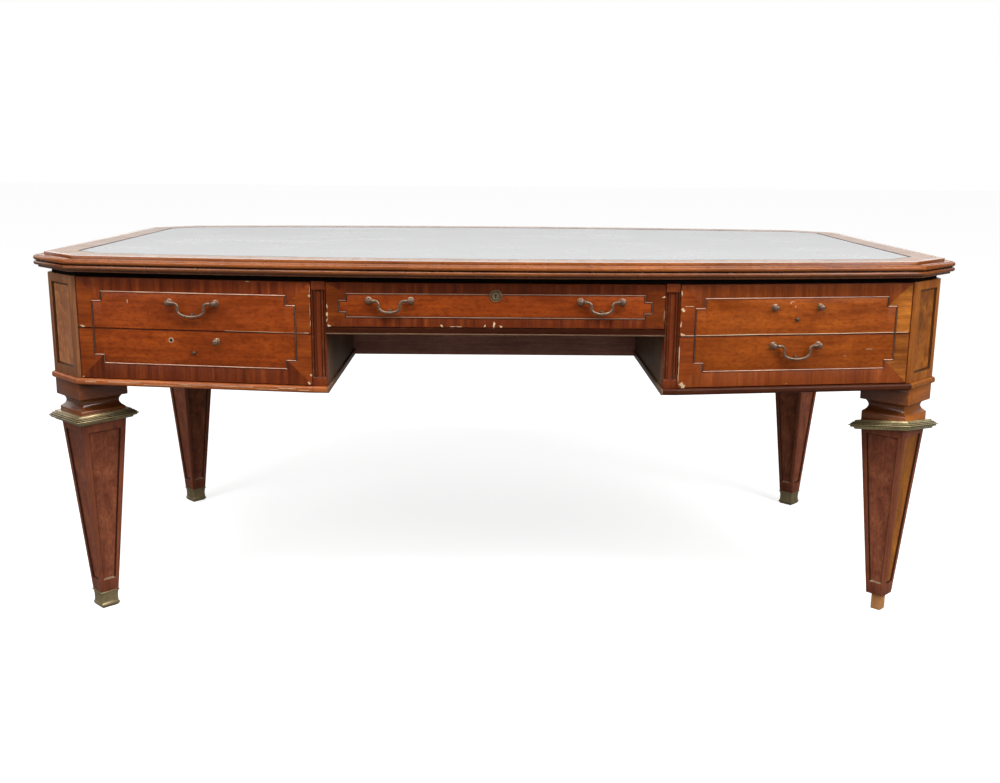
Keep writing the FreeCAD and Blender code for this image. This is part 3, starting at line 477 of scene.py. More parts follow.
def wood(name, tone, worn=None, axis="UV", figure=0.35, streaks=46.0, rough=0.36, wear=0.7, contrast=1.0,
         shine=0.18, mottle=0.25, dirt_and_shade=0.8, reach=0.006, swirl=(10.0, 22.0)):
    """Polished old wood: grain, pores, cloudy figure, edges worn to bare wood, and dirt and painted shade in
    its corners and grooves.
    """
    material, tree = blank(name)
    worn = worn or bpy.context.scene.desk_colours.raw
    everywhere = node(tree, "ShaderNodeTexCoord").outputs["Object"]
    if axis == "UV":
        spot = node(tree, "ShaderNodeUVMap", uv_map="grain").outputs[0]
    else:
        turn = {"X": (0, 0, 0), "Y": (0, 0, -math.pi / 2), "Z": (0, math.pi / 2, 0)}[axis]
        spot = node(tree, "ShaderNodeMapping", {"Vector": everywhere, "Rotation": turn}).outputs[0]
    streak = noise(tree, spot, (2.4, streaks, streaks), 6.0, 0.62, 0.35)
    fine = noise(tree, spot, (9.0, streaks * 6, streaks * 6), 3.0)
    cloud = noise(tree, spot, (swirl[0], swirl[1], swirl[1]), 5.0, 0.6, 0.9)
    pores = noise(tree, spot, (26.0, 800.0, 800.0), 2.0)
    grain = between(tree, 0.25, between(tree, figure, streak, cloud), fine)
    spread = 0.20 / contrast
    base = ramp(tree, grain, [
        (0.5 - spread, tint(tone, 0.42, 0.85)), (0.5 - 0.25 * spread, tint(tone, 0.85)),
        (0.5 + 0.35 * spread, tint(tone, 1.2, 1.06)), (0.5 + spread, tint(tone, 1.75, 1.2))])
    base = mix(tree, remap(tree, pores, 0.60, 0.72, 0.0, 0.42), base, tint(tone, 0.22))
    flecks = noise(tree, spot, (95.0, 170.0, 170.0), 3.0, 0.6, 0.6)
    base = mix(tree, remap(tree, flecks, 0.46, 0.66, 0.0, mottle), base, tint(tone, 0.45, 0.85))
    old = noise(tree, everywhere, (5.0, 5.0, 5.0), 4.0)
    base = mix(tree, remap(tree, old, 0.47, 0.68, 0.0, 0.42), base, tint(tone, 0.55, 0.9))
    chipped = remap(tree, noise(tree, everywhere, (42.0, 42.0, 42.0), 5.0, 0.7), 0.53, 0.64)
    rubbed = times(tree, edge_mask(tree, 0.0018), chipped)
    base = mix(tree, times(tree, rubbed, wear), base, tint(worn, 1.0))
    # Dirt and painted shade: darker in corners and grooves, by how closed in they are
    base = mix(tree, times(tree, corner_dirt_and_shade(tree, reach), dirt_and_shade), base, tint(tone, 0.10, 0.8))
    dull = remap(tree, cloud, 0.30, 0.70, rough - 0.07, rough + 0.10)
    height = math_node(tree, "ADD", times(tree, pores, 0.6), fine)
    finish(tree, Base_Color=base, Roughness=dull, Normal=relief(tree, height, 0.22, 0.0005, 0.0009),
           Specular_IOR_Level=shine)
    return material


def metal(name, tone, dark, rough=0.30, patina=0.30):
    """Aged brass: cloudy tarnish, dark in the hollows and brighter on rubbed edges."""
    material, tree = blank(name)
    everywhere = node(tree, "ShaderNodeTexCoord").outputs["Object"]
    cloud = noise(tree, everywhere, (34.0, 34.0, 34.0), 5.0, 0.6, 0.4)
    speck = noise(tree, everywhere, (420.0, 420.0, 420.0), 2.0)
    base = ramp(tree, cloud, [(0.28, tint(tone, 0.55)), (0.50, tint(tone, 0.90)), (0.70, tint(tone, 1.15))])
    base = mix(tree, remap(tree, speck, 0.56, 0.70, 0.0, patina), base, tint(dark, 0.7))
    base = mix(tree, times(tree, edge_mask(tree, 0.0012), 0.45), base, tint(tone, 1.9))
    base = mix(tree, times(tree, corner_dirt_and_shade(tree, 0.004), 0.9), base, tint(dark, 0.25))
    dull = remap(tree, cloud, 0.30, 0.70, rough + 0.14, rough - 0.06)
    finish(tree, Base_Color=base, Roughness=dull, Normal=relief(tree, speck, 0.18, 0.0004, 0.0006),
           Metallic=0.60)
    return material


def hide(name, tone):
    """Old flat leather: fine pebble, rubbed patches, faint scratches and a satin sheen."""
    material, tree = blank(name)
    everywhere = node(tree, "ShaderNodeTexCoord").outputs["Object"]
    pebble = node(tree, "ShaderNodeTexVoronoi", {"Vector": everywhere, "Scale": 520.0},
                  feature="SMOOTH_F1").outputs["Distance"]
    patch = noise(tree, everywhere, (7.0, 15.0, 7.0), 6.0, 0.65, 0.15)
    scratch = noise(tree, everywhere, (6.0, 240.0, 6.0), 3.0, 0.6, 1.2)
    base = ramp(tree, patch, [(0.30, tint(tone, 0.74)), (0.50, tint(tone, 1.0)), (0.70, tint(tone, 1.30))])
    base = mix(tree, remap(tree, scratch, 0.60, 0.72, 0.0, 0.22), base, tint(tone, 0.60))
    dull = remap(tree, patch, 0.30, 0.70, 0.24, 0.42)
    height = math_node(tree, "ADD", times(tree, patch, 1.5), pebble)
    bump = node(tree, "ShaderNodeBump", {"Strength": 0.10, "Distance": 0.0006, "Height": height}).outputs[0]
    finish(tree, Base_Color=base, Roughness=dull, Normal=bump, Specular_IOR_Level=0.6)
    return material


def finishes():
    """All finishes of the desk by short name, made once from the colours."""
    tones = bpy.context.scene.desk_colours
    figured = {"figure": 0.62, "streaks": 26.0}
    field = {"wear": 0.5, "mottle": 0.55, "contrast": 1.1, **figured}
    band = {"figure": 0.15, "streaks": 75.0, "wear": 0.5}
    side = {"figure": 0.40, "streaks": 42.0, "wear": 0.5, "contrast": 1.3}
    gold = {"figure": 0.30, "streaks": 60.0, "wear": 0.5, "contrast": 1.4}
    bead = {"axis": "X", "figure": 0.3, "wear": 0.0, "rough": 0.30, "dirt_and_shade": 0.1}
    post = {"figure": 0.35, "wear": 0.45, "rough": 0.40}
    burr = {"figure": 0.95, "streaks": 30.0, "wear": 0.1, "rough": 0.40, "mottle": 0.5, "swirl": (34.0, 34.0)}
    # The head's long reach spreads painted shade over the hollow neck under the block
    head = {"figure": 0.35, "wear": 0.4, "reach": 0.030}
    # Strong dirt and painted shade in the grooves between the reeds
    edge = {"figure": 0.30, "rough": 0.24, "dirt_and_shade": 0.95}
    knee = {"wear": 0.2, "rough": 0.5, "shine": 0.12}
    return {
        "field": wood("field_veneer", tones.field, **field),
        "pale_field": wood("pale_field_veneer", shade(tones.field, 1.10, 1.22), **field),
        "band": wood("cross_band", tones.band, contrast=1.5, **band),
        # Lighter copy of the cross band for the upper left drawers: painted light on the band under the top's
        # overhang
        "lit_band": wood("painted_lit_upper_cross_band", shade(tones.band, 1.6), contrast=1.5, **band),
        "pale_band": wood("pale_cross_band", shade(tones.band, 1.75, 1.2), **band),
        "side_band": wood("side_band", tones.side_band, **side),
        "gold": wood("golden_band", tones.gold, **gold),
        "dim_side": wood("dim_side_band", shade(tones.side_band, 0.62), **side),
        "dull_gold": wood("dull_golden_band", shade(tones.gold, 0.62, 0.92), **gold),
        # Beads: pale upper sides are rubbed finish with painted highlight, dimmer on the centre drawers; dark
        # undersides are painted shade
        "dim_bead": wood("dim_highlit_bead_wood", shade(tones.bead, 0.45), **bead),
        "groove": wood("groove_wood", tones.band, wear=0.0, dirt_and_shade=0.35),
        "bead": wood("rubbed_and_highlit_bead_wood", tones.bead, **bead),
        "painted_shade_bead": wood("painted_shade_bead_wood", shade(tones.bead, 0.16), axis="Z", wear=0.0, dirt_and_shade=0.4),
        "frame": wood("post_wood", tones.frame_wood, **post),
        "burr": wood("post_panel_burr", shade(tones.frame_wood, 0.85), **burr),
        "pale_frame": wood("pale_post_wood", shade(tones.pale_post, 0.68), **post),
        "pale_burr": wood("pale_post_panel_burr", tones.pale_post, **burr),
        # Dark copies for the walls of sunk panels, as painted shade
        "stile_panel_shade": wood("stile_panel_painted_shade", shade(tones.stile, 0.50), wear=0.0),
        "post_panel_shade": wood("post_panel_painted_shade", shade(tones.frame_wood, 0.22), wear=0.0),
        "stile": wood("stile_wood", tones.stile, figure=0.30, wear=0.35, contrast=0.9),
        "leg": wood("leg_wood", tones.leg, shade(tones.raw, 0.75), figure=0.40, streaks=38.0, wear=0.35,
                    rough=0.42),
        "leg_panel": wood("leg_panel_wood", shade(tones.leg, 1.02), figure=0.85, streaks=26.0, wear=0.1,
                          rough=0.42, mottle=0.5, swirl=(26.0, 30.0)),
        # Golden copies for the right-hand faces of one leg: faded wood and painted light from the right
        "lit_faded_leg_panel": wood("lit_faded_golden_leg_panel", shade(tones.gold, 0.82, 1.05), figure=0.60, streaks=30.0,
                         wear=0.3, rough=0.42, mottle=0.4),
        "lit_faded_leg_head": wood("lit_faded_golden_leg_head", shade(tones.gold, 0.90, 0.95), rough=0.30, shine=0.3, **head),
        "tenon": wood("bare_tenon_wood", shade(tones.pale_post, 1.5, 1.15), figure=0.30, wear=0.3,
                      rough=0.55),
        "leg_panel_shade": wood("leg_panel_painted_shade", shade(tones.leg, 0.22), wear=0.0),
        # Pale wood: bare on the screw mark's ring, a painted highlight on the legs' foot ledges
        "ledge": wood("pale_bare_and_highlit_wood", shade(tones.raw, 0.7), wear=0.0, dirt_and_shade=0.2),
        "edge": wood("edge_wood", tones.edge, wear=0.35, shine=0.40, **edge),
        # Darker copy for the strip and lower reed, as painted shade
        "shaded_low_edge": wood("painted_shade_low_edge_wood", shade(tones.edge, 0.62), wear=0.45, shine=0.5, **edge),
        # Pale border tone on the raised flat, as a painted highlight along the arris
        "rim": wood("highlit_rim_wood", tones.border, figure=0.30, wear=0.2, rough=0.16, shine=0.9),
        "line": wood("border_line_wood", shade(tones.border, 0.12), wear=0.1, rough=0.45),
        # Border: wood with painted glare in its paler, greyer tone
        "border": wood("glare_paled_border_wood", tones.border, figure=0.30, wear=0.2, rough=0.34, shine=0.45),
        "base": wood("base_wood", tones.base, figure=0.30),
        # Left front base: rubbed, and lighter as painted light
        "base_pale": wood("rubbed_and_lit_base_wood", shade(tones.base, 1.40), figure=0.30, wear=0.9, rough=0.20,
                          shine=0.4),
        # Right front base: darker copy as painted shade
        "base_dark": wood("painted_shade_base_wood", shade(tones.base, 0.25, 0.85), figure=0.30, wear=0.4),
        "base_gold": wood("golden_base_wood", shade(tones.gold, 0.8), figure=0.20, streaks=70.0, wear=0.5,
                          contrast=1.3),
        "knee_x": wood("kneehole_wood_x", shade(tones.shade, 2.4, 0.8), axis="X", **knee),
        "knee_z": wood("kneehole_wood_z", tones.shade, axis="Z", **knee),
        "trim": wood("kneehole_trim_wood", shade(tones.shade, 1.3), wear=0.6, rough=0.32, shine=0.35),
        "rail_edge": wood("rail_edge_wood", shade(tones.border, 0.40), wear=0.4, contrast=1.4),
        "rail": wood("rail_wood", shade(tones.stile, 0.20), tones.base, axis="X", wear=0.6),
        "end": wood("end_panel_veneer", tones.field, axis="Y", mottle=0.45, **figured),
        "black": wood("blackened_and_shaded_wood", tones.black, tones.shade, axis="X", wear=0.3, rough=0.8, shine=0.1),
        "inside": wood("carcase_wood", shade(tones.lining, 0.45), axis="Y", rough=0.65, wear=0.2),
        "lining_y": wood("lining_wood", tones.lining, axis="Y", rough=0.6, wear=0.2, contrast=0.7),
        "chip": wood("chipped_wood", tones.raw, axis="X", rough=0.7, wear=0.0, contrast=0.6, mottle=0.0,
                     dirt_and_shade=0.0),
        "leg_head": wood("leg_head_wood", shade(tones.base, 0.70), rough=0.20, shine=0.6, **head),
        "brass": metal("aged_brass", tones.brass, tones.bronze),
        # Brighter copy of the brass, as painted light on the tilted collar
        "bright_brass": metal("painted_lit_collar_brass", shade(tones.brass, 1.45, 1.05), tones.bronze, 0.26, 0.45),
        "key_brass": metal("key_plate_brass", shade(tones.brass, 0.75, 0.93), tones.bronze, 0.27, 0.6),
        "handle": metal("handle_brass", shade(tones.brass, 0.60, 0.80), tones.bronze, 0.25),
        "bronze": metal("dark_brass", tones.bronze, shade(tones.bronze, 0.4), 0.32),
        "leather": hide("worn_leather", tones.leather),
    }


# The top
def edge_section():
    """The moulded edge's section as (distance in, height): strip, two reeds, ledge and raised flat."""
    steps = 10
    strip, low, high, groove, set_back, ledge_step = 0.0045, 0.0046, 0.00525, 0.0006, 0.020, 0.0056
    points = [(EDGE_WIDTH, UNDER), (0.008, UNDER), (0.008, UNDER + strip)]
    height = UNDER + strip
    for radius in (low, high):
        for i in range(steps + 1):
            angle = math.pi * (i / steps - 0.5)
            points.append((radius - radius * math.cos(angle), height + radius + radius * math.sin(angle)))
        height += 2 * radius + groove
        points.append((radius, height))
    return points + [(set_back, TOP - ledge_step), (set_back, TOP), (EDGE_WIDTH, TOP)]


def border_section():
    """The flat border between the moulded edge and the dark line."""
    foot, inner = TOP - BORDER_DEPTH, BORDER - LINE
    return [(EDGE_WIDTH, foot), (EDGE_WIDTH, TOP), (inner, TOP), (inner, foot)]


def line_section():
    """The dark line let in between the border and the leather."""
    foot, outer, inner, face = TOP - BORDER_DEPTH, BORDER - LINE, BORDER - 0.0002, TOP - 0.0002
    return [(outer, foot), (outer, face), (BORDER - 0.0012, face), (inner, TOP - 0.0022), (inner, foot)]


def bow_ring(section, share):
    """A section at a share of the way along the front's bow, from one mitre to the other."""
    ring = []
    for d, z in section:
        cx, cy = top_corner(d)
        angle = share * math.atan2(cx, cy - BOW_CENTRE)
        ring.append(Vector(((BOW_RADIUS - d) * math.sin(angle),
                            -BOW_CENTRE - (BOW_RADIUS - d) * math.cos(angle), z)))
    return ring


def corner_ring(section, at, sx, sy):
    """A section in the mitre at a corner of the top."""
    return [Vector((sx * at(d)[0], sy * at(d)[1], z)) for d, z in section]


def top_lengths(section):
    """Mitred lengths round the top with their grain: two bows, two ends and four cut corners."""
    steps = 48
    bow = loft([bow_ring(section, 2 * i / steps - 1) for i in range(steps + 1)])
    lengths = [(bow, X), (place(copied(bow), Matrix.Rotation(math.pi, 4, "Z")), X)]
    for sx in (-1, 1):
        lengths.append((loft([corner_ring(section, top_tip, sx, sy) for sy in (-1, 1)]), Y))
    for sx, sy in QUARTERS:
        cut = loft([corner_ring(section, at, sx, sy) for at in (top_corner, top_tip)])
        lengths.append((cut, Vector((sx, -sy, 0)).normalized()))
    return lengths


def outline_points(d, steps=40):
    """The top's outline moved in by d."""
    front = [bow_ring([(d, 0.0)], 2 * i / steps - 1)[0] for i in range(steps + 1)]
    tips = [corner_ring([(d, 0.0)], top_tip, 1, sy)[0] for sy in (-1, 1)]
    half = front + tips
    return half + [Vector((-p.x, -p.y, 0)) for p in half]


def leather_height(x, y):
    """How far the leather's face lies under the top, in gentle waves with one faint crease."""
    waves = 0.00012 * math.sin(7.0 * x + 2.0 * y) + 0.00010 * math.sin(5.0 * x - 9.0 * y + 1.0)
    start, along, length, width = Vector((-0.42, 0.05)), Vector((0.86, -0.51)), 0.34, 0.012
    span = Vector((x, y)) - start
    off = abs(span.x * along.y - span.y * along.x)
    crease = 0.00035 * math.exp(-(off / width) ** 2) if 0.0 < span.dot(along) < length else 0.0
    return 0.0004 - waves - crease


def at_height(points, z):
    """An outline at another height."""
    return [Vector((p.x, p.y, z)) for p in points]


def build_top():
    """Moulded edge, flat border, dark line, board and leather."""
    edges = top_lengths(edge_section())
    for i, (obj, way) in enumerate(edges):
        soften(obj, 0.0011, 2, 60.0)
        lay_grain(obj, lambda c, n, way=way: (way, (Z * 0.9 + way.cross(Z) * 0.45)), 1.7 * i)
        # Raised flat: pale tone as painted highlight; strip and lower reed: dark copy as painted shade
        paint(obj, ("edge", "shaded_low_edge", "rim"),
              lambda c, n: 2 if c.z > TOP - 0.0013 and n.z > 0.25 else int(c.z < UNDER + 0.0140))
    moulding = join([obj for obj, _ in edges])
    dress(moulding, "moulded_edge", "desk", ("top_edge_moulding",))
    borders = top_lengths(border_section())
    for i, (obj, way) in enumerate(borders):
        soften(obj, 0.0004, 1, 48.0)
        lay_grain(obj, lambda c, n, way=way: (way.cross(Z), way), 2.3 * i)
        paint(obj, "border")
    lines = top_lengths(line_section())
    for i, (obj, way) in enumerate(lines):
        lay_grain(obj, lambda c, n, way=way: (way, way.cross(Z)), 2.9 * i)
        paint(obj, "line")
    outline = outline_points(EDGE_WIDTH)
    core = soften(loft([at_height(outline, UNDER), at_height(outline, TOP - BORDER_DEPTH)]), 0.0004, 1)
    outline = outline_points(BORDER)
    bed = loft([at_height(outline, TOP - BORDER_DEPTH - 0.0001), at_height(outline, LEATHER_LOW.z)])
    for piece, shift in ((core, 4.0), (bed, 5.0)):
        lay_grain(piece, grain_along(X), shift)
        paint(piece, "edge")
    board = join([core, bed] + [obj for obj, _ in borders + lines])
    dress(board, "veneered_board", "desk", ("top_board",))
    build_leather()


def build_leather():
    """The leather as a thin sheet with a rolled edge, in a fine net so that it can lie a little unevenly."""
    outline = outline_points(BORDER + 0.0006, 60)
    inner = outline_points(BORDER + 0.0014, 60)
    sheet = loft([at_height(outline, LEATHER_LOW.z + 0.0001), at_height(outline, TOP - 0.0010),
                  at_height(inner, TOP - 0.0003)])
    edit(sheet)
    choose(sheet, lambda c, n: n.z > 0.99)
    bpy.ops.mesh.delete(type="ONLY_FACE")
    bpy.ops.mesh.select_mode(type="EDGE")
    bpy.ops.mesh.select_all(action="DESELECT")
    bpy.ops.mesh.select_non_manifold()
    bpy.ops.mesh.edge_face_add()
    bpy.ops.mesh.select_mode(type="FACE")
    half_x, half_y = LEATHER_HIGH.x, LEATHER_HIGH.y
    for way, half, steps in ((X, half_x, 96), (Y, half_y, 52)):
        for i in range(1, steps):
            choose(sheet, lambda c, n: n.z > 0.9 and c.z > TOP - 0.0006)
            bpy.ops.mesh.bisect(plane_co=way * (-half + 2 * half * i / steps), plane_no=way)
    mesh = bmesh.from_edit_mesh(sheet.data)
    for vertex in mesh.verts:
        if vertex.co.z > TOP - 0.0005:
            vertex.co.z = TOP - leather_height(vertex.co.x, vertex.co.y)
    bmesh.update_edit_mesh(sheet.data)
    close_edit()
    smooth(settle(sheet), 50)
    paint(sheet, "leather")
    dress(sheet, "leather_sheet", "desk", ("leather_inset",))


# The case
def build_posts(sizes):
    """Corner posts with moulded sunk panels, paler on the left."""
    inner = LEG_X - 0.008
    side = LEG_Y - 0.012
    margin = 0.013 / math.sqrt(2)
    half_panel = 0.0405
    cut = CASE_SIDE + LEG_Y - 0.020 * math.sqrt(2)
    plan = [(inner, front_depth(inner)), (LEG_X, CASE_CORNER), (LEG_X + margin, CASE_CORNER - margin),
            (CASE_SIDE - margin, LEG_Y + margin), (CASE_SIDE, LEG_Y), (CASE_SIDE, side),
            (cut - side, side), (inner, cut - inner)]
    steps = [(0.0016, 0.0), (0.0014, sizes.sink * 0.55), (0.0012, 0.0), (0.0006, sizes.sink * 0.45)]
    posts = []
    for i, (sx, sy) in enumerate(QUARTERS):
        post = loft([[Vector((sx * x, sy * y, z)) for x, y in plan] for z in POST_HEIGHTS])
        out = Vector((sx, sy, 0)).normalized()
        across = Z.cross(out)
        middle = Vector((sx * (CASE_SIDE + LEG_X) / 2, sy * (CASE_CORNER + LEG_Y) / 2, PANEL_MIDDLE))
        sink_faces(post, lambda c, n: n.dot(out) > 0.99 and (c - middle).length < 0.03, steps)
        soften(post, sizes.arris)
        lay_grain(post, grain_along(Z), 1.9 * i)

        def sunk(c, n):
            depth = (middle - c).dot(out)
            if depth < 0.0003 or n.dot(out) < -0.2 or abs((c - middle).dot(across)) > half_panel:
                return 0
            # Walls of the sunk panel take the dark copy as painted shade
            return 1 if depth > sizes.sink - 0.0004 and n.dot(out) > 0.99 else 2

        woods = ("pale_frame", "pale_burr") if sx < 0 else ("frame", "burr")
        paint(post, woods + ("post_panel_shade",), sunk)
        posts.append(post)
    dress(join(posts), "moulded_posts", "desk", ("corner_posts",))


def build_stiles(sizes):
    """Stiles beside the kneeholes, each with a narrow sunk panel."""
    back = FRONT - 0.030
    rim = 0.0065
    plan = [(KNEE, FRONT), (KNEE + rim, FRONT), (WING - rim, FRONT), (WING, FRONT),
            (WING, back), (KNEE, back)]
    steps = [(0.0012, sizes.sink * 0.6), (0.0008, 0.0), (0.0006, sizes.sink * 0.4)]
    stiles = []
    for i, (sx, sy) in enumerate(QUARTERS):
        stile = loft([[Vector((sx * x, sy * y, z)) for x, y in plan] for z in POST_HEIGHTS])
        out = Vector((0, sy, 0))
        middle = Vector((sx * (KNEE + WING) / 2, sy * FRONT, PANEL_MIDDLE))
        sink_faces(stile, lambda c, n: n.dot(out) > 0.99 and (c - middle).length < 0.012, steps)
        soften(stile, sizes.arris)
        lay_grain(stile, grain_along(Z), 3.1 * i)
        # Walls of the narrow sunk panel take the dark copy as painted shade
        paint(stile, ("stile", "stile_panel_shade"),
              lambda c, n: int(abs(c.x - middle.x) < 0.0072 and n.dot(out) < 0.99
                               and PANEL_FOOT < c.z < PANEL_HEAD and 0.0003 < (middle - c).dot(out) < 0.010))
        stiles.append(stile)
    dress(join(stiles), "moulded_stiles", "desk", ("stiles",))


def offset_corner(a, b, c, distance):
    """The corner b of an outline a, b, c whose two sides are moved out."""
    lines = []
    for p, q in ((a, b), (b, c)):
        way = (Vector(q) - Vector(p)).normalized()
        out = Vector((way.y, -way.x))
        lines.append((out, out.dot(Vector(p)) + distance))
    (n, u), (m, v) = lines
    det = n.x * m.y - n.y * m.x
    return (u * m.y - v * n.y) / det, (n.x * v - m.x * u) / det


def build_base():
    """The strip round the foot of each pedestal, in mitred lengths with a worn, rounded face."""
    front = [(KNEE, -FRONT), (WING, -FRONT), (LEG_X, -CASE_CORNER), (CASE_SIDE, -LEG_Y)]
    outline = front + [(x, -y) for x, y in front[::-1]]
    reach, depth, height, radius = 0.006, 0.018, FLOOR_TOP - CASE_FLOOR, 0.0045
    section = [(reach - depth, 0.0)]
    for middle, start in ((radius, -90), (height - radius, 0)):
        for i in range(6):
            angle = math.radians(start + 90 * i / 5)
            section.append((reach - radius + radius * math.cos(angle), middle + radius * math.sin(angle)))
    section.append((reach - depth, height))

    def corner(i, d):
        if i in (0, len(outline) - 1):
            return outline[i][0], math.copysign(FRONT + d, outline[i][1])
        return offset_corner(outline[i - 1], outline[i], outline[i + 1], d)

    # Right front lengths are darkened as painted shade; left front ones are lightened as painted light over
    # their rubbed finish
    right_woods = {0: "base_dark", 1: "base_dark", 2: "base_gold"}
    left_woods = {4: "base_pale", 5: "base_pale", 6: "base_pale"}
    lengths = []
    for turn, woods in ((0.0, right_woods), (math.pi, left_woods)):
        for i in range(len(outline) - 1):
            rings = [[Vector((*corner(k, d), CASE_FLOOR + z)) for d, z in section] for k in (i, i + 1)]
            way = (rings[1][0] - rings[0][0]).normalized()
            across = Z + way.cross(Z) * 0.4 + way * (0.9 if i in (2, 4) else 0.05)
            length = soften(loft(rings), 0.0005, 1, 60.0)
            lay_grain(length, lambda c, n, grain=(way, across): grain, 1.3 * len(lengths))
            paint(length, woods.get(i, "base"))
            lengths.append(place(length, Matrix.Rotation(turn, 4, "Z")))
    proud = wing_shear(-1) @ Matrix.Translation((0, -reach, 0))
    lengths += [place(chip, proud) for chip in chips(BASE_WEAR_AND_HIGHLIGHTS)]
    dress(join(lengths), "base_strips", "desk", ("base_moulding",))


def build_trim():
    """Thin trim: strips along the foot of the kneeholes' sides and the rubbed lower edge of the rails."""
    proud, high, knee_back = 0.0045, 0.0125, 0.085
    rail_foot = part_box("kneehole_rails")[0].z
    pieces = []
    for _, turn in ENDS:
        spin = Matrix.Rotation(turn, 4, "Z")
        for side in (-1, 1):
            left, right = sorted((side * (KNEE - proud), side * (KNEE + 0.0003)))
            strip = cube((left, -FRONT - 0.0055, CASE_FLOOR), (right, -knee_back, CASE_FLOOR + high))
            soften(strip, 0.0018, 3)
            lay_grain(strip, grain_along(Y), side)
            paint(strip, "trim")
            pieces.append(place(strip, spin))
        edge = cube((-KNEE, -FRONT - 0.0010, rail_foot), (KNEE, -FRONT + 0.0020, rail_foot + 0.0030))
        soften(edge, 0.0009)
        lay_grain(edge, grain_along(X), turn)
        paint(edge, "rail_edge")
        pieces.append(place(edge, spin))
    dress(join(pieces), "kneehole_trim", "desk")


# The legs
def square(half, z, margin=None):
    """A level square, with two more points on each side where a margin is given."""
    points = []
    for quarter in range(4):
        turn = Matrix.Rotation(quarter * math.pi / 2, 3, "Z")
        places = [-half] if margin is None else [-half, margin - half, half - margin]
        points += [turn @ Vector((x, -half, z)) for x in places]
    return points


def leg_shape(sizes):
    """One leg at the origin: block, hollow neck, plinth, panelled shaft and tenon."""
    foot, shaft_top, plinth_top, block_foot = 0.0375, 0.4315, 0.4495, 0.4745
    low, high = 0.0655, 0.40175
    thin, thick, rim, neck, shoulder = 0.0198, 0.049, 0.0478, 0.0395, BLOCK_HALF - 0.007

    def half_at(z):
        return thin + (z - foot) / (shaft_top - foot) * (thick - thin)

    shaft = loft([square(half_at(z), z, margin) for z, margin in
                  ((foot, 0.0085), (low, 0.0085), (high, 0.0115), (shaft_top, 0.0115))])
    middle = (low + high) / 2
    sink_faces(shaft, lambda c, n: (abs(n.z) < 0.2 and abs(c.z - middle) < 0.03
                                    and min(abs(c.x), abs(c.y)) < 0.004),
               [(0.0006, sizes.leg_sink * 0.5), (0.0010, 0.0), (0.0003, sizes.leg_sink * 0.5)])
    soften(shaft, sizes.arris, 2, 30.0)
    head = [(thick, shaft_top), (thick, plinth_top - 0.001), (rim, plinth_top)]
    for i in range(1, 9):
        share = i / 8
        edge = rim + share * (shoulder - rim)
        head.append((edge - (edge - neck) * math.sin(math.pi * share) ** 0.8,
                     plinth_top + share * (block_foot - plinth_top)))
    head += [(BLOCK_HALF, block_foot), (BLOCK_HALF, CASE_FLOOR)]
    top = soften(loft([square(half, z) for half, z in head]), sizes.arris, 2, 30.0)
    tenon = soften(loft([square(0.0105, 0.0), square(0.011, 0.002), square(0.011, foot)]), 0.0008, 1, 30.0)
    for piece in (shaft, tenon):
        lay_grain(piece, grain_along(Z))
    lay_grain(top, lambda c, n: (Z.cross(n), Z) if abs(n.z) < 0.8 else (X, Y))

    def panel(centre, normal):
        # The upward ledge at the foot of the front panel is painted pale as a highlight
        if abs(centre.z - low) < 0.004 and normal.z > 0.5 and -centre.y > abs(centre.x):
            return 2
        face = max(abs(centre.x), abs(centre.y))
        if not low - 0.003 < centre.z < high + 0.003 or face > half_at(centre.z) - 0.0003:
            return 0
        # Walls of the sunk panel take the dark copy as painted shade
        return 1 if face < half_at(centre.z) - sizes.leg_sink + 0.0006 and abs(normal.z) < 0.3 else 3

    paint(shaft, ("leg", "leg_panel", "ledge", "leg_panel_shade"), panel)
    paint(top, "leg_head")
    paint(tenon, "tenon")
    return join([shaft, top, tenon])


def square_ring(profile):
    """A square ring swept from a closed profile of (half side, height)."""
    turns = [Matrix.Rotation(quarter * math.pi / 2, 3, "Z") for quarter in range(5)]
    return loft([[turn @ Vector((h, -h, z)) for h, z in profile] for turn in turns], capped=False)


def collar_profile(half):
    """Section of a collar: sloped underside, reeded edge and sloped top, its top at zero."""
    reach, height = 0.068 - half, 0.0195
    shares = [(0.0, 1.0), (0.45, 1.0), (0.56, 0.80), (0.58, 0.765), (0.78, 0.765), (0.84, 0.72),
              (0.86, 0.66), (0.83, 0.615), (0.80, 0.595), (0.97, 0.585), (1.0, 0.55), (1.0, 0.49),
              (0.97, 0.455), (0.80, 0.44), (0.80, 0.415), (0.86, 0.39), (0.87, 0.35), (0.83, 0.315),
              (0.66, 0.30), (0.66, 0.27), (0.70, 0.24), (0.69, 0.20), (0.63, 0.175), (0.47, 0.165),
              (0.46, 0.13), (0.44, 0.04), (0.40, 0.0), (0.0, 0.0)]
    return [(half + a * reach, -b * height) for a, b in shares]


def sabot_profile():
    """Section of a shoe: sole, flared base, hollow body and lip, with the hole for the tenon inside."""
    hole, lip, waist, base, sole = 0.0114, 0.0215, 0.0178, 0.0205, 0.0170
    low, high = 0.0112, 0.0346
    points = [(hole, 0.0), (sole, 0.0), (base - 0.0004, 0.0050), (base, 0.0058), (base, 0.0086),
              (base - 0.0008, 0.0094), (waist + 0.0008, low)]
    for i in range(1, 9):
        share = i / 8
        flare = 0.0008 * (1 - share) ** 2 + 0.0018 * share ** 3
        points.append((waist + flare, low + share * (high - low)))
    return points + [(lip - 0.0004, 0.0352), (lip, 0.0358), (lip, 0.0370), (lip - 0.0005, 0.0375),
                     (hole, 0.0375)]


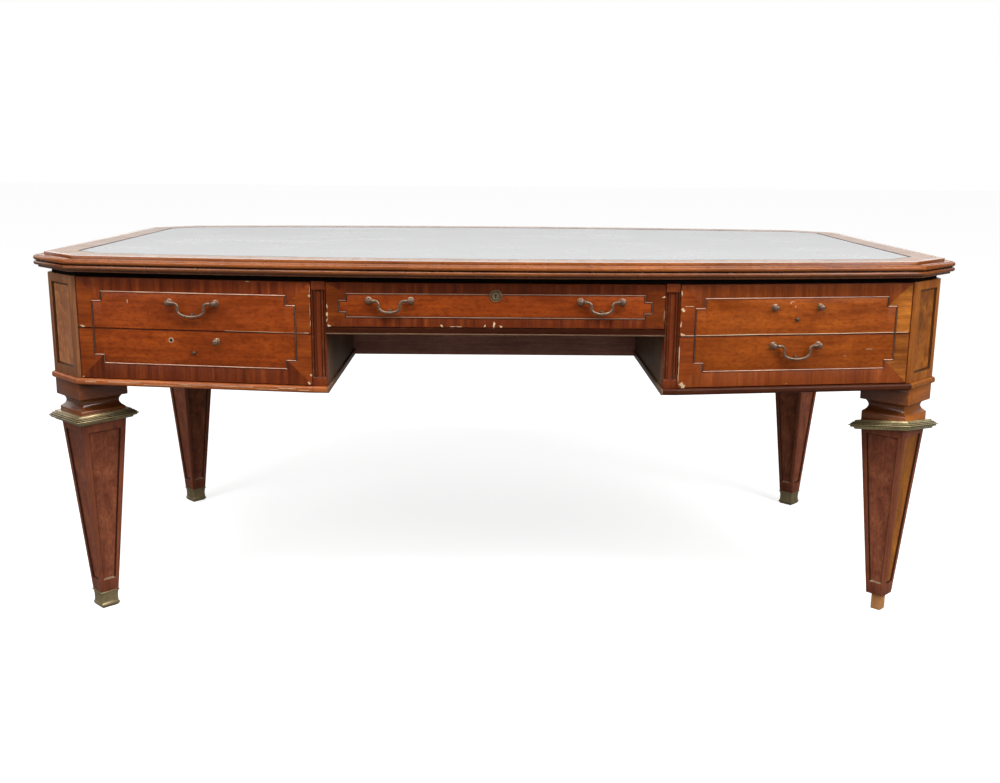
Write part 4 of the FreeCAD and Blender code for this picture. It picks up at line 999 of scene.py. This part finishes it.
def fade_and_light_right_side(leg):
    """Turns the right-hand faces of a leg's panel and head golden: faded wood, and painted light from the
    right.
    """
    right = Vector((1, -1, 0)).normalized()
    for plain, golden in (("leg_panel", "lit_faded_leg_panel"), ("leg_head", "lit_faded_leg_head")):
        old = leg.data.materials.find(MATERIALS[plain].name)
        leg.data.materials.append(MATERIALS[golden])
        for face in leg.data.polygons:
            if face.material_index == old and face.normal.dot(right) > 0.6:
                face.material_index = len(leg.data.materials) - 1


def build_legs(sizes):
    """Four legs set cornerwise, each with its collar, and the shoes that are left."""
    leg = leg_shape(sizes)
    shoe = soften(square_ring(sabot_profile()), 0.0004, 2, 40.0)
    paint(shoe, "brass")
    cornerwise = Matrix.Rotation(math.pi / 4, 4, "Z")
    for sx, sy in QUARTERS:
        where = f"{'front' if sy < 0 else 'back'}_{'left' if sx < 0 else 'right'}"
        at = Matrix.Translation((sx * LEG_X, sy * LEG_Y, 0))
        piece = place(copied(leg), at @ Matrix.Rotation(-sx * math.pi / 4, 4, "Z"))
        if (sx, sy) == BARE_LEG:
            fade_and_light_right_side(piece)
        dress(piece, f"leg_{where}", "desk", ("legs",))
        half, seat, tilt, pitch = COLLAR_SEATS.get((sx, sy), LEVEL_COLLAR)
        lean = (Matrix.Rotation(math.radians(pitch), 4, Vector((1, -1, 0)))
                @ Matrix.Rotation(math.radians(tilt), 4, Vector((1, 1, 0))))
        collar = soften(square_ring(collar_profile(half)), 0.0003, 2, 40.0)
        # The slipped, tilted collar takes the brighter copy of the brass as painted light
        paint(collar, "bright_brass" if (sx, sy) == BARE_LEG else "brass")
        place(collar, at @ Matrix.Translation((0, 0, seat)) @ cornerwise @ lean)
        dress(collar, f"collar_{where}", "desk", ("leg_collars",))
        if (sx, sy) != BARE_LEG:
            dress(place(copied(shoe), at @ cornerwise), f"shoe_{where}", "desk", ("sabots",))
    for spare in (leg, shoe):
        bpy.data.objects.remove(spare)


# The drawers: field, cross band, left and right side bands and bead, more faded on the right
LEFT_WOODS = {"upper": ("field", "lit_band", "side_band", "side_band", "bead"),
              "lower": ("field", "band", "side_band", "side_band", "bead")}
CENTRE_WOODS = ("field", "band", "dim_side", "dim_side", "dim_bead")
RIGHT_WOODS = {"upper": ("pale_field", "pale_band", "side_band", "gold", "bead"),
               "lower": ("pale_field", "pale_band", "side_band", "dull_gold", "bead")}


def near_path(point, path, distance):
    """Whether a point of a face lies on one of the runs of a bead."""
    for (x0, z0), (x1, z1) in zip(path, path[1:]):
        if (min(x0, x1) - distance <= point.x <= max(x0, x1) + distance
                and min(z0, z1) - distance <= point.z <= max(z0, z1) + distance):
            return True
    return False


def bead_rod(path, radius):
    """A round bead along a path on the face, mitred at its corners."""
    closed = path[0] == path[-1]
    data = bpy.data.curves.new("bead", "CURVE")
    data.dimensions = "3D"
    data.bevel_depth = radius
    data.bevel_resolution = 2
    data.use_fill_caps = True
    line = data.splines.new("POLY")
    points = path[:-1] if closed else path
    line.points.add(len(points) - 1)
    for point, (x, z) in zip(line.points, points):
        point.co = (x, 0.0, z, 1.0)
    line.use_cyclic_u = closed
    obj = bpy.data.objects.new("bead", data)
    bpy.context.collection.objects.link(obj)
    make_active(obj)
    bpy.ops.object.convert(target="MESH")
    return smooth(settle(bpy.context.object), 50)


def flake(x, z, wide, tall, seed):
    """A spot where the finish has chipped off: a low, ragged patch or bar of bare wood on the face."""
    points = []
    if wide > 12 * tall:
        spots = [(k / 12 - 0.5, 0.5) for k in range(13)]
        spots += [(share, -0.5) for share, _ in spots[::-1]]
        for k, (share, part) in enumerate(spots):
            ragged = 0.72 + 0.28 * math.sin(5.3 * k + 1.7 * seed)
            points.append((x + wide * share, z + tall * part * ragged))
    else:
        for k in range(7):
            angle = 2 * math.pi * (k + 0.3 * math.sin(5.1 * k + seed)) / 7
            ragged = 0.5 * (0.75 + 0.40 * math.sin(4.3 * k + 1.9 * seed))
            points.append((x + wide * ragged * math.cos(angle), z + tall * ragged * math.sin(angle)))
    obj = loft([[Vector((px, y, pz)) for px, pz in points] for y in (0.0002, -0.00015)])
    lay_grain(obj, grain_along(X), seed)
    paint(obj, "chip")
    return obj


def chips(spots):
    """Chips from their x, z, width and height in millimetres."""
    return [flake(*[v / 1000 for v in spot], i) for i, spot in enumerate(spots)]


def screw_mark(x, z):
    """The pale ring and screw hole that a lost post has left; the hole is a shallow disc painted dark as
    shade.
    """
    ring = turned([(0.0056, -0.0002), (0.0054, 0.0003), (0.0050, 0.0005), (0.0034, 0.0005), (0.0030, 0.0001)])
    paint(ring, "ledge")
    hole = turned([(0.0029, 0.0), (0.0028, 0.00025), (0.0008, 0.00022)])
    paint(hole, "black")
    return place(join([ring, hole]), Matrix.Translation((x, 0, z)))


def veneered_front(half, low, high, path, mitres, sizes, shift, woods):
    """A drawer front on the XZ plane, out to -Y: bead in its groove, field inside it, bands round it."""
    obj = cube((-half, 0.0, low), (half, FRONT_THICKNESS, high))
    rim, clear = 0.0013, 0.001
    field, cross, left, right, bead = woods
    columns = [x for x in sorted({x for x, _ in path}) if abs(x) < half - clear]
    rows = [z for z in sorted({z for _, z in path}) if low + clear < z < high - clear]
    for x in [x + off for x in columns for off in (-sizes.quirk, sizes.quirk)]:
        score(obj, (x, 0, 0), X)
    for z in [z + off for z in rows for off in (-sizes.quirk, sizes.quirk)]:
        score(obj, (0, 0, z), Z)
    for x in (rim - half, half - rim):
        score(obj, (x, 0, 0), X)
    for z in (low + rim, high - rim):
        score(obj, (0, 0, z), Z)
    for (x0, z0), (x1, z1) in mitres:
        score(obj, (x0, 0, z0), Vector((z1 - z0, 0, x0 - x1)),
              lambda c, n: (n.y < -0.9 and min(x0, x1) < c.x < max(x0, x1)
                            and min(z0, z1) < c.z < max(z0, z1)))
    edit(obj)
    choose(obj, lambda c, n: n.y < -0.9 and near_path(c, path, sizes.quirk * 0.9))
    bpy.ops.mesh.extrude_region_move(TRANSFORM_OT_translate={"value": (0, sizes.quirk_depth, 0)})
    close_edit()
    soften(settle(obj), 0.0006, 2, 40.0)
    runs = list(zip(path, path[1:]))

    def inside_bead(c):
        crossed = sum(x0 == x1 and min(z0, z1) < c.z < max(z0, z1) and c.x < x0
                      for (x0, z0), (x1, z1) in runs)
        return crossed % 2 == 1

    def past_mitre(c):
        for (x0, z0), (x1, z1) in mitres:
            if (c.x > 0) == (x0 > 0) and (z0 > z1) == (c.z > (low + high) / 2):
                line = z1 + (abs(c.x) - abs(x1)) / (abs(x0) - abs(x1)) * (z0 - z1)
                beyond = c.z > line if z0 > z1 else c.z < line
                if beyond:
                    return True
        return False

    def zone(c, n):
        if c.y > 0.003 or n.y > 0.5:
            return 2
        on_rim = abs(c.x) > half - rim or not low + rim < c.z < high - rim
        if on_rim or near_path(c, path, sizes.quirk * 0.97):
            return 3
        if inside_bead(c):
            return 0
        if past_mitre(c) or abs(c.x) < half - 0.06:
            return 1
        return 4 if c.x > 0 else 2

    paint(obj, (field, cross, left, "groove", right), zone)
    slant = Y * 0.3
    lay_grain(obj, lambda c, n: (Z, X + slant) if zone(c, n) == 1 else (X, Z + slant), shift, 0.7 * shift)
    rod = bead_rod(path, sizes.bead)
    lay_grain(rod, grain_along(X))
    reach = sizes.bead * 1.05
    uprights = [(x0, min(z0, z1) + reach, max(z0, z1) - reach) for (x0, z0), (x1, z1) in runs if x0 == x1]

    # Undersides and uprights of the bead take the dark copy as painted shade; the rest keeps the pale tone as
    # painted highlight on rubbed finish
    def in_painted_shade(c, n):
        return int(n.z < -0.6 or any(abs(c.x - x) < reach and z0 < c.z < z1 for x, z0, z1 in uprights))

    paint(rod, (bead, "painted_shade_bead"), in_painted_shade)
    return join([obj, rod])


# Chips as x, z, width and height on the flat face, in millimetres: left front base strip and front drawers
# On the base strip these are thin pale bars along its rounded upper edge: rubbed finish and painted highlight
BASE_WEAR_AND_HIGHLIGHTS = ((-150, 517.9, 70, 1.2), (60, 518.0, 120, 1.2), (190, 517.8, 36, 1.8), (150, 515.0, 44, 1.0),
              (-60, 514.9, 100, 1.0), (-222, 517.6, 22, 1.8), (-10, 518.0, 50, 1.1), (225, 515.2, 24, 1.5))
# The long thin bars along the lower edges of the upper drawers are worn finish and painted highlight on the
# rounded edges
FLAKES = {
    "front_left_upper": ((-233, 630.5, 15, 5), (239.5, 703, 5, 9), (240.5, 714, 1.6, 18),
                         (240.5, 675, 1.4, 30), (233, 629.5, 10, 3), (240.5, 648, 1.4, 20),
                         (-135, 683, 3, 8), (115, 728, 8, 2.5), (150, 628.9, 170, 0.9)),
    "front_left_lower": ((235, 529, 9, 7), (239, 545, 4, 9), (-238, 526.5, 6, 3)),
    "front_centre": ((-329.5, 683, 3.5, 10), (-330, 667, 4, 14), (-330, 655, 3, 8), (-326, 644.5, 12, 5),
                     (-106, 646, 5, 9), (-21, 646, 4, 8), (-3, 648, 9, 12), (10, 645, 6, 6),
                     (328, 705, 7, 5), (330.5, 668, 1.6, 22), (-78, 644.2, 24, 1.2)),
    "front_right_upper": ((-236, 680, 12, 8), (-224, 687, 20, 2), (-239, 651, 5, 14), (-235, 631, 16, 6),
                          (-240, 714, 2.5, 18), (-15, 692, 3, 8), (-11, 694, 8, 2), (0, 629.2, 476, 2.3),
                          (-5, 684, 2.5, 6)),
    "front_right_lower": ((-232, 529.5, 18, 13), (-240.5, 590, 2, 70), (-240.5, 555, 2.4, 60),
                          (157, 596, 14, 1.1), (106, 583, 7, 1.2), (-15, 528, 2.5, 3)),
}


def wing_turn(side):
    """Takes a handle from the origin to the middle of a pedestal drawer's face."""
    return (Matrix.Translation((side * WING_MIDDLE, -front_depth(WING_MIDDLE), 0))
            @ Matrix.Rotation(side * FRONT_ANGLE, 4, "Z"))


def wing_shear(side):
    """Takes a flat front to a pedestal's slanted face, its ends staying square to the desk."""
    lean = Matrix.Identity(4)
    lean[0][0] = math.cos(FRONT_ANGLE)
    lean[1][0] = side * math.sin(FRONT_ANGLE)
    return Matrix.Translation((side * WING_MIDDLE, -front_depth(WING_MIDDLE), 0)) @ lean


def worn(front, name):
    """Adds the chips of one drawer front, if it has any."""
    return join([front] + chips(FLAKES.get(name, ())))


def build_fronts(sizes):
    """All ten drawer fronts."""
    slope = 1 / math.cos(FRONT_ANGLE)
    half, outer, inner = 0.2395 * slope, 0.208 * slope, 0.189 * slope
    half_centre, wide, tab = 0.3315, 0.292, 0.306
    foot, head, tab_foot, tab_head = 0.662, 0.708, 0.672, 0.6945
    count = 0
    for end, turn in ENDS:
        spin = Matrix.Rotation(turn, 4, "Z")
        for bay, side in SIDES:
            for level, (low, high, axis) in LEVELS.items():
                if level == "upper":
                    edge, notch, line, rim = low - 0.001, 0.6825, 0.702, high
                else:
                    edge, notch, line, rim = high + 0.001, 0.5735, 0.5565, low
                path = [(-outer, edge), (-outer, notch), (-inner, notch), (-inner, line),
                        (inner, line), (inner, notch), (outer, notch), (outer, edge)]
                mitres = [((s * half, rim), (s * inner, notch)) for s in (-1, 1)]
                count += 1
                name = f"{end}_{bay}_{level}"
                woods = (RIGHT_WOODS if bay == "right" else LEFT_WOODS)[level]
                front = veneered_front(half, low, high, path, mitres, sizes, 1.37 * count, woods)
                if name == "front_left_lower":
                    join([front, screw_mark(-WING_HANDLE[0] / 2, axis)])
                place(worn(front, name), spin @ wing_shear(side))
                dress(front, f"{name}_veneered_front", f"{name}_drawer", (f"{name}_front",))
        name = f"{end}_centre"
        low, high = (corner.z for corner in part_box(f"{name}_front"))
        right = [(wide, head), (wide, tab_head), (tab, tab_head), (tab, tab_foot), (wide, tab_foot),
                 (wide, foot)]
        path = right + [(-x, z) for x, z in right[::-1]] + right[:1]
        mitres = [((s * half_centre, rim), (s * wide, line)) for s in (-1, 1)
                  for rim, line in ((high, head), (low, foot))]
        count += 1
        front = veneered_front(half_centre, low, high, path, mitres, sizes, 1.37 * count, CENTRE_WOODS)
        place(worn(front, name), spin @ Matrix.Translation((0, -FRONT, 0)))
        dress(front, f"{name}_veneered_front", f"{name}_drawer", (f"{name}_front",))


# Handles and locks, at the origin with the drawer face in the XZ plane, out to -Y
def turned(profile, count=24):
    """A round piece from (radius, reach) steps, standing out to -Y."""
    angles = [2 * math.pi * i / count for i in range(count)]
    rings = [[Vector((radius * math.cos(a), -reach, radius * math.sin(a))) for a in angles]
             for radius, reach in profile]
    return smooth(loft(rings), 38)


def handle_post(x):
    """A post: rose with a rounded rim, neck and flattened ball."""
    profile = [(0.0066, 0.0), (0.0075, 0.0006), (0.0075, 0.0014), (0.0068, 0.0022), (0.0050, 0.0026),
               (0.0040, 0.0034), (0.0036, 0.0048), (0.0044, 0.0055)]
    for i in range(1, 12):
        angle = math.pi * (i / 12)
        profile.append((0.0002 + 0.0058 * math.sin(angle) ** 0.75, 0.0100 - 0.0045 * math.cos(angle)))
    profile.append((0.0003, 0.0145))
    post = place(turned(profile), Matrix.Translation((x, 0, 0)))
    paint(post, "handle")
    return post


def stud(drop):
    """The button that a hanging bail rests against."""
    profile = [(0.0040, 0.0), (0.0040, 0.0024)]
    for i in range(1, 7):
        angle = math.pi / 2 * i / 6
        profile.append((0.0002 + 0.0038 * math.cos(angle), 0.0024 + 0.0021 * math.sin(angle)))
    button = place(turned(profile, 20), Matrix.Translation((0, 0, 0.0025 - drop)))
    paint(button, "bronze")
    return button


def bail_path(spacing, drop):
    """Half of a bail's centre line, from its pin to the middle of its grip, as (x, z)."""
    shoulder, upright = spacing / 2 - 0.0063, spacing / 2 - 0.0205
    high, low, sag = 0.008, 0.007, 0.19 * drop
    reach = ((upright - low) ** 2 + sag ** 2) / (2 * sag)
    bow = math.asin((upright - low) / reach)
    path = [(shoulder + 0.0030, 0.0), (shoulder + 0.0001, 0.0), (shoulder, 0.0), (upright + high, 0.0)]
    for i in range(1, 8):
        angle = math.pi / 2 * i / 7
        path.append((upright + high - high * math.sin(angle), high * math.cos(angle) - high))
    start = (upright, low + sag - drop)
    path += [(upright, (start[1] - high) / 2), start]
    for i in range(1, 8):
        angle = (math.pi / 2 - bow) * i / 7
        path.append((upright - low + low * math.cos(angle), start[1] - low * math.sin(angle)))
    grip = upright - low + low * math.sin(bow)
    for i in range(1, 11):
        angle = bow * (1 - i / 10)
        path.append((grip * math.sin(angle) / math.sin(bow), reach - drop - reach * math.cos(angle)))
    return path


def bail(spacing, drop):
    """A drop handle: pins, rounded shoulders, uprights and a bowed, slightly fuller grip."""
    half = bail_path(spacing, drop)
    path = half + [(-x, z) for x, z in half[-2::-1]]
    pin, shoulder, rod, fuller, stand, count = 0.0018, 0.0036, 0.0030, 0.0004, 0.010, 14
    angles = [2 * math.pi * k / count for k in range(count)]
    rings = []
    for i, (x, z) in enumerate(path):
        (x0, z0), (x1, z1) = path[max(0, i - 1)], path[min(len(path) - 1, i + 1)]
        side = Vector((x1 - x0, 0, z1 - z0)).normalized().cross(Y)
        steps_in = min(i, len(path) - 1 - i)
        radius = pin if steps_in < 2 else shoulder if steps_in < 4 else rod
        if z < -0.5 * drop:
            radius += fuller * max(0.0, 1.0 - abs(x) / (spacing * 0.28))
        centre = Vector((x, -stand, z))
        rings.append([centre + side * (radius * math.cos(a)) + Y * (radius * math.sin(a)) for a in angles])
    obj = smooth(loft(rings), 50)
    paint(obj, "handle")
    return obj


def key_plate():
    """A round key plate with a raised rim, and a keyhole on its boss, a thin sheet painted dark as shade."""
    profile = [(0.0117, 0.0), (0.0120, 0.0004), (0.0120, 0.0012), (0.0114, 0.0019), (0.0104, 0.0019),
               (0.0097, 0.0003), (0.0080, 0.0003), (0.0075, 0.0016), (0.0064, 0.0018), (0.0058, 0.0012),
               (0.0040, 0.0014), (0.0030, 0.0014)]
    plate = turned(profile, 40)
    paint(plate, "key_brass")
    angles = [math.radians(d) for d in range(-60, 241, 30)]
    outline = [(0.0017 * math.cos(a), 0.0017 * math.sin(a) + 0.0010) for a in angles]
    outline += [(-0.0010, -0.0048), (0.0010, -0.0048)]
    hole = loft([[Vector((x, y, z)) for x, z in outline] for y in (-0.00145, -0.00125)])
    paint(hole, "black")
    return join([plate, hole])


def hang(drop, at, name):
    """Puts a drop handle in its place, on its own body."""
    dress(place(drop, at), f"{name}_drop_handle", f"{name}_bail", (f"{name}_bail",))


def build_handles():
    """Posts, studs, bails and key plates on every drawer."""
    for end, turn in ENDS:
        spin = Matrix.Rotation(turn, 4, "Z")
        spacing, drop = WING_HANDLE
        for bay, side in SIDES:
            for level, (_, _, axis) in LEVELS.items():
                name = f"{end}_{bay}_{level}"
                kept = LOST_BAILS.get((end, bay, level))
                at = spin @ wing_turn(side) @ Matrix.Translation((0, 0, axis))
                pieces = [handle_post(s * spacing / 2) for s in (kept or (-1, 1))] + [stud(drop)]
                fittings = place(join(pieces), at)
                dress(fittings, f"{name}_posts", f"{name}_drawer", (f"{name}_fittings",))
                if not kept:
                    hang(bail(spacing, drop), at, name)
        name = f"{end}_centre"
        spacing, drop = CENTRE_HANDLE
        pieces = [place(key_plate(), spin @ Matrix.Translation((0, -FRONT, KEY_HEIGHT)))]
        for word, side in SIDES:
            at = spin @ Matrix.Translation((side * CENTRE_ASIDE, -FRONT, CENTRE_HEIGHT))
            fittings = [handle_post(s * spacing / 2) for s in (-1, 1)] + [stud(drop)]
            pieces += [place(piece, at) for piece in fittings]
            hang(bail(spacing, drop), at, f"{name}_{word}")
        pieces.append(lock_case(spin))
        dress(join(pieces), f"{name}_posts", f"{name}_drawer", (f"{name}_fittings",))


def lock_case(spin):
    """The lock's case behind the centre front, with its channel for the bolt and its barrel."""
    top, back = 0.7285, FRONT_THICKNESS - FRONT
    case = cube((-0.026, back, top - 0.040), (0.026, back + 0.014, top))
    half, deep, channel, middle = 0.0094, 0.0029, 0.0204, back + 0.007
    for x in (-half, half):
        score(case, (x, 0, 0), X, lambda c, n: n.z > 0.9)
    for y in (middle - deep, middle + deep):
        score(case, (0, y, 0), Y, lambda c, n: n.z > 0.9)
    edit(case)
    choose(case, lambda c, n: n.z > 0.9 and abs(c.x) < half and abs(c.y - middle) < deep)
    bpy.ops.mesh.extrude_region_move(TRANSFORM_OT_translate={"value": (0, 0, -channel)})
    close_edit()
    soften(settle(case), 0.0005, 1)
    barrel = place(turned([(0.0049, 0.0), (0.0049, 0.0205)]), Matrix.Translation((0, back, KEY_HEIGHT)))
    for piece in (case, barrel):
        paint(piece, "bronze")
    return place(join([case, barrel]), spin)


def dress_frame():
    """Materials for the frame's own pieces that are shown as they are."""
    # The frieze's near-black is ebonised wood and painted shade under the top
    plain = {"frieze_rails": "black", "end_panels": "end", "kneehole_panels": "knee_z",
             "inner_partitions": "knee_x", "pedestal_floors": "inside", "drawer_dividers": "inside",
             "drawer_runners": "inside", "kneehole_rails": "rail", "leg_dowels": "lining_y",
             "front_lock_bolt": "brass", "back_lock_bolt": "brass"}
    for name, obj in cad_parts.items():
        kind = "lining_y" if name.endswith("_tray") else plain.get(name)
        if kind:
            for i in range(len(obj.data.materials)):
                obj.data.materials[i] = MATERIALS[kind]


# Stage
def lamp(name, power, size, at, towards):
    """A soft rectangular light that the camera doesn't see."""
    bpy.ops.object.select_all(action="DESELECT")
    bpy.ops.object.light_add(type="AREA", location=at)
    light = bpy.context.object
    light.name = name
    light.rotation_euler = (Vector(towards) - Vector(at)).to_track_quat("-Z", "Y").to_euler()
    light.data.shape = "RECTANGLE"
    light.data.size, light.data.size_y = size
    light.data.energy = power
    light.visible_camera = False


def build_floor():
    """A wide white floor that keeps the desk's shadow."""
    bpy.ops.object.select_all(action="DESELECT")
    bpy.ops.mesh.primitive_plane_add(size=60.0)
    floor = bpy.context.object
    floor.name = "floor"
    material, tree = blank("white_floor")
    rays = node(tree, "ShaderNodeLightPath").outputs
    mirrored = times(tree, rays["Is Glossy Ray"], 0.12)
    seen = math_node(tree, "MAXIMUM", rays["Is Camera Ray"], rays["Is Transmission Ray"])
    seen = math_node(tree, "MAXIMUM", seen, mirrored)
    tone = mix(tree, rays["Is Camera Ray"], (0.14, 0.14, 0.14, 1.0), (0.80, 0.80, 0.80, 1.0))
    matt = node(tree, "ShaderNodeBsdfDiffuse", {"Color": tone})
    glow = node(tree, "ShaderNodeEmission", {"Strength": times(tree, seen, 0.72)})
    both = node(tree, "ShaderNodeAddShader", {0: matt.outputs[0], 1: glow.outputs[0]})
    node(tree, "ShaderNodeOutputMaterial", {"Surface": both.outputs[0]})
    floor.data.materials.append(material)


def build_world(stage):
    """White where the camera looks, bright behind and over the desk and darker in front for reflections."""
    world = bpy.data.worlds.new("room")
    bpy.context.scene.world = world
    world.use_nodes = True
    tree = world.node_tree
    tree.nodes.clear()
    rays = node(tree, "ShaderNodeLightPath").outputs
    way = node(tree, "ShaderNodeTexCoord").outputs["Generated"]
    parts = node(tree, "ShaderNodeSeparateXYZ", {0: way}).outputs
    mirror = remap(tree, parts["Y"], 0.20, 0.75, 0.07, 1.40)
    mirror = times(tree, mirror, remap(tree, parts["X"], 0.45, 0.90, 1.0, 0.15))
    seen = math_node(tree, "MAXIMUM", rays["Is Camera Ray"], rays["Is Transmission Ray"])
    level = between(tree, seen, between(tree, rays["Is Glossy Ray"], stage.sky, mirror), 1.0)
    shader = node(tree, "ShaderNodeBackground", {"Color": (1.0, 1.0, 1.0, 1.0), "Strength": level})
    node(tree, "ShaderNodeOutputWorld", {"Surface": shader.outputs[0]})


def build_camera(stage):
    """The photograph's camera, as its points were fitted: place, turn, pitch and roll."""
    spot, turn, pitch, roll = (-0.0087, -2.6868, 0.9804), -0.0085, 0.2117, 0.0084
    bpy.ops.object.select_all(action="DESELECT")
    bpy.ops.object.camera_add()
    camera = bpy.context.object
    camera.data.sensor_width = 36.0
    camera.data.sensor_fit = "HORIZONTAL"
    camera.data.lens = stage.lens
    camera.data.clip_end = 200.0
    camera.matrix_world = (Matrix.Translation(spot) @ Matrix.Rotation(turn, 4, "Z")
                           @ Matrix.Rotation(math.pi / 2 - pitch, 4, "X") @ Matrix.Rotation(roll, 4, "Z"))
    bpy.context.scene.camera = camera


# The add-on
class DESK_OT_finishes(bpy.types.Operator):
    """Make the woods, brass and leather from the desk's colours"""
    bl_idname = "desk.finishes"
    bl_label = "Finishes"

    def execute(self, context):
        MATERIALS.update(finishes())
        dress_frame()
        return {"FINISHED"}


class DESK_OT_top(bpy.types.Operator):
    """Make the moulded edge, the border and the leather"""
    bl_idname = "desk.top"
    bl_label = "Top"

    def execute(self, context):
        build_top()
        return {"FINISHED"}


class DESK_OT_case(bpy.types.Operator):
    """Make the corner posts, stiles, base strips and thin trim"""
    bl_idname = "desk.case"
    bl_label = "Case"

    def execute(self, context):
        build_posts(context.scene.desk_sizes)
        build_stiles(context.scene.desk_sizes)
        build_base()
        build_trim()
        return {"FINISHED"}


class DESK_OT_legs(bpy.types.Operator):
    """Make the legs with their collars and shoes"""
    bl_idname = "desk.legs"
    bl_label = "Legs"

    def execute(self, context):
        build_legs(context.scene.desk_sizes)
        return {"FINISHED"}


class DESK_OT_drawers(bpy.types.Operator):
    """Make the veneered drawer fronts"""
    bl_idname = "desk.drawers"
    bl_label = "Drawer fronts"

    def execute(self, context):
        build_fronts(context.scene.desk_sizes)
        return {"FINISHED"}


class DESK_OT_handles(bpy.types.Operator):
    """Make the handles, studs and key plates"""
    bl_idname = "desk.handles"
    bl_label = "Handles"

    def execute(self, context):
        build_handles()
        return {"FINISHED"}


class DESK_OT_stage(bpy.types.Operator):
    """Set up the camera, the lights and the floor"""
    bl_idname = "desk.stage"
    bl_label = "Stage"

    def execute(self, context):
        stage = context.scene.desk_stage
        context.scene.view_settings.view_transform = "Standard"
        build_camera(stage)
        build_floor()
        build_world(stage)
        lamp("key", stage.key, (2.4, 2.4), (3.2, -3.0, 2.6), (0.2, -0.3, 0.5))
        lamp("fill", stage.fill, (2.4, 2.4), (-3.4, -2.8, 2.2), (-0.2, -0.3, 0.5))
        lamp("over", stage.over, (5.0, 0.6), (0.0, -1.9, 3.0), (0.0, -0.5, 0.7))
        return {"FINISHED"}


STEPS = (DESK_OT_finishes, DESK_OT_top, DESK_OT_case, DESK_OT_legs, DESK_OT_drawers, DESK_OT_handles,
         DESK_OT_stage)


class DESK_PT_panel(bpy.types.Panel):
    """Steps and settings of the desk"""
    bl_label = "Partners desk"
    bl_idname = "DESK_PT_panel"
    bl_space_type = "VIEW_3D"
    bl_region_type = "UI"
    bl_category = "Desk"

    def draw(self, context):
        for step in STEPS:
            self.layout.operator(step.bl_idname)
        for group in (context.scene.desk_sizes, context.scene.desk_colours, context.scene.desk_stage):
            box = self.layout.box()
            for name in group.__annotations__:
                box.prop(group, name)


CLASSES = (DeskSizes, DeskColours, DeskStage) + STEPS + (DESK_PT_panel,)


def register():
    for cls in CLASSES:
        bpy.utils.register_class(cls)
    bpy.types.Scene.desk_sizes = bpy.props.PointerProperty(type=DeskSizes)
    bpy.types.Scene.desk_colours = bpy.props.PointerProperty(type=DeskColours)
    bpy.types.Scene.desk_stage = bpy.props.PointerProperty(type=DeskStage)


def unregister():
    del bpy.types.Scene.desk_sizes, bpy.types.Scene.desk_colours, bpy.types.Scene.desk_stage
    for cls in reversed(CLASSES):
        bpy.utils.unregister_class(cls)


def main():
    """Builds everything in order."""
    register()
    bpy.ops.object.select_all(action="DESELECT")
    bpy.ops.desk.finishes()
    bpy.ops.desk.top()
    bpy.ops.desk.case()
    bpy.ops.desk.legs()
    bpy.ops.desk.drawers()
    bpy.ops.desk.handles()
    bpy.ops.desk.stage()


if __name__ == "__main__":
    main()
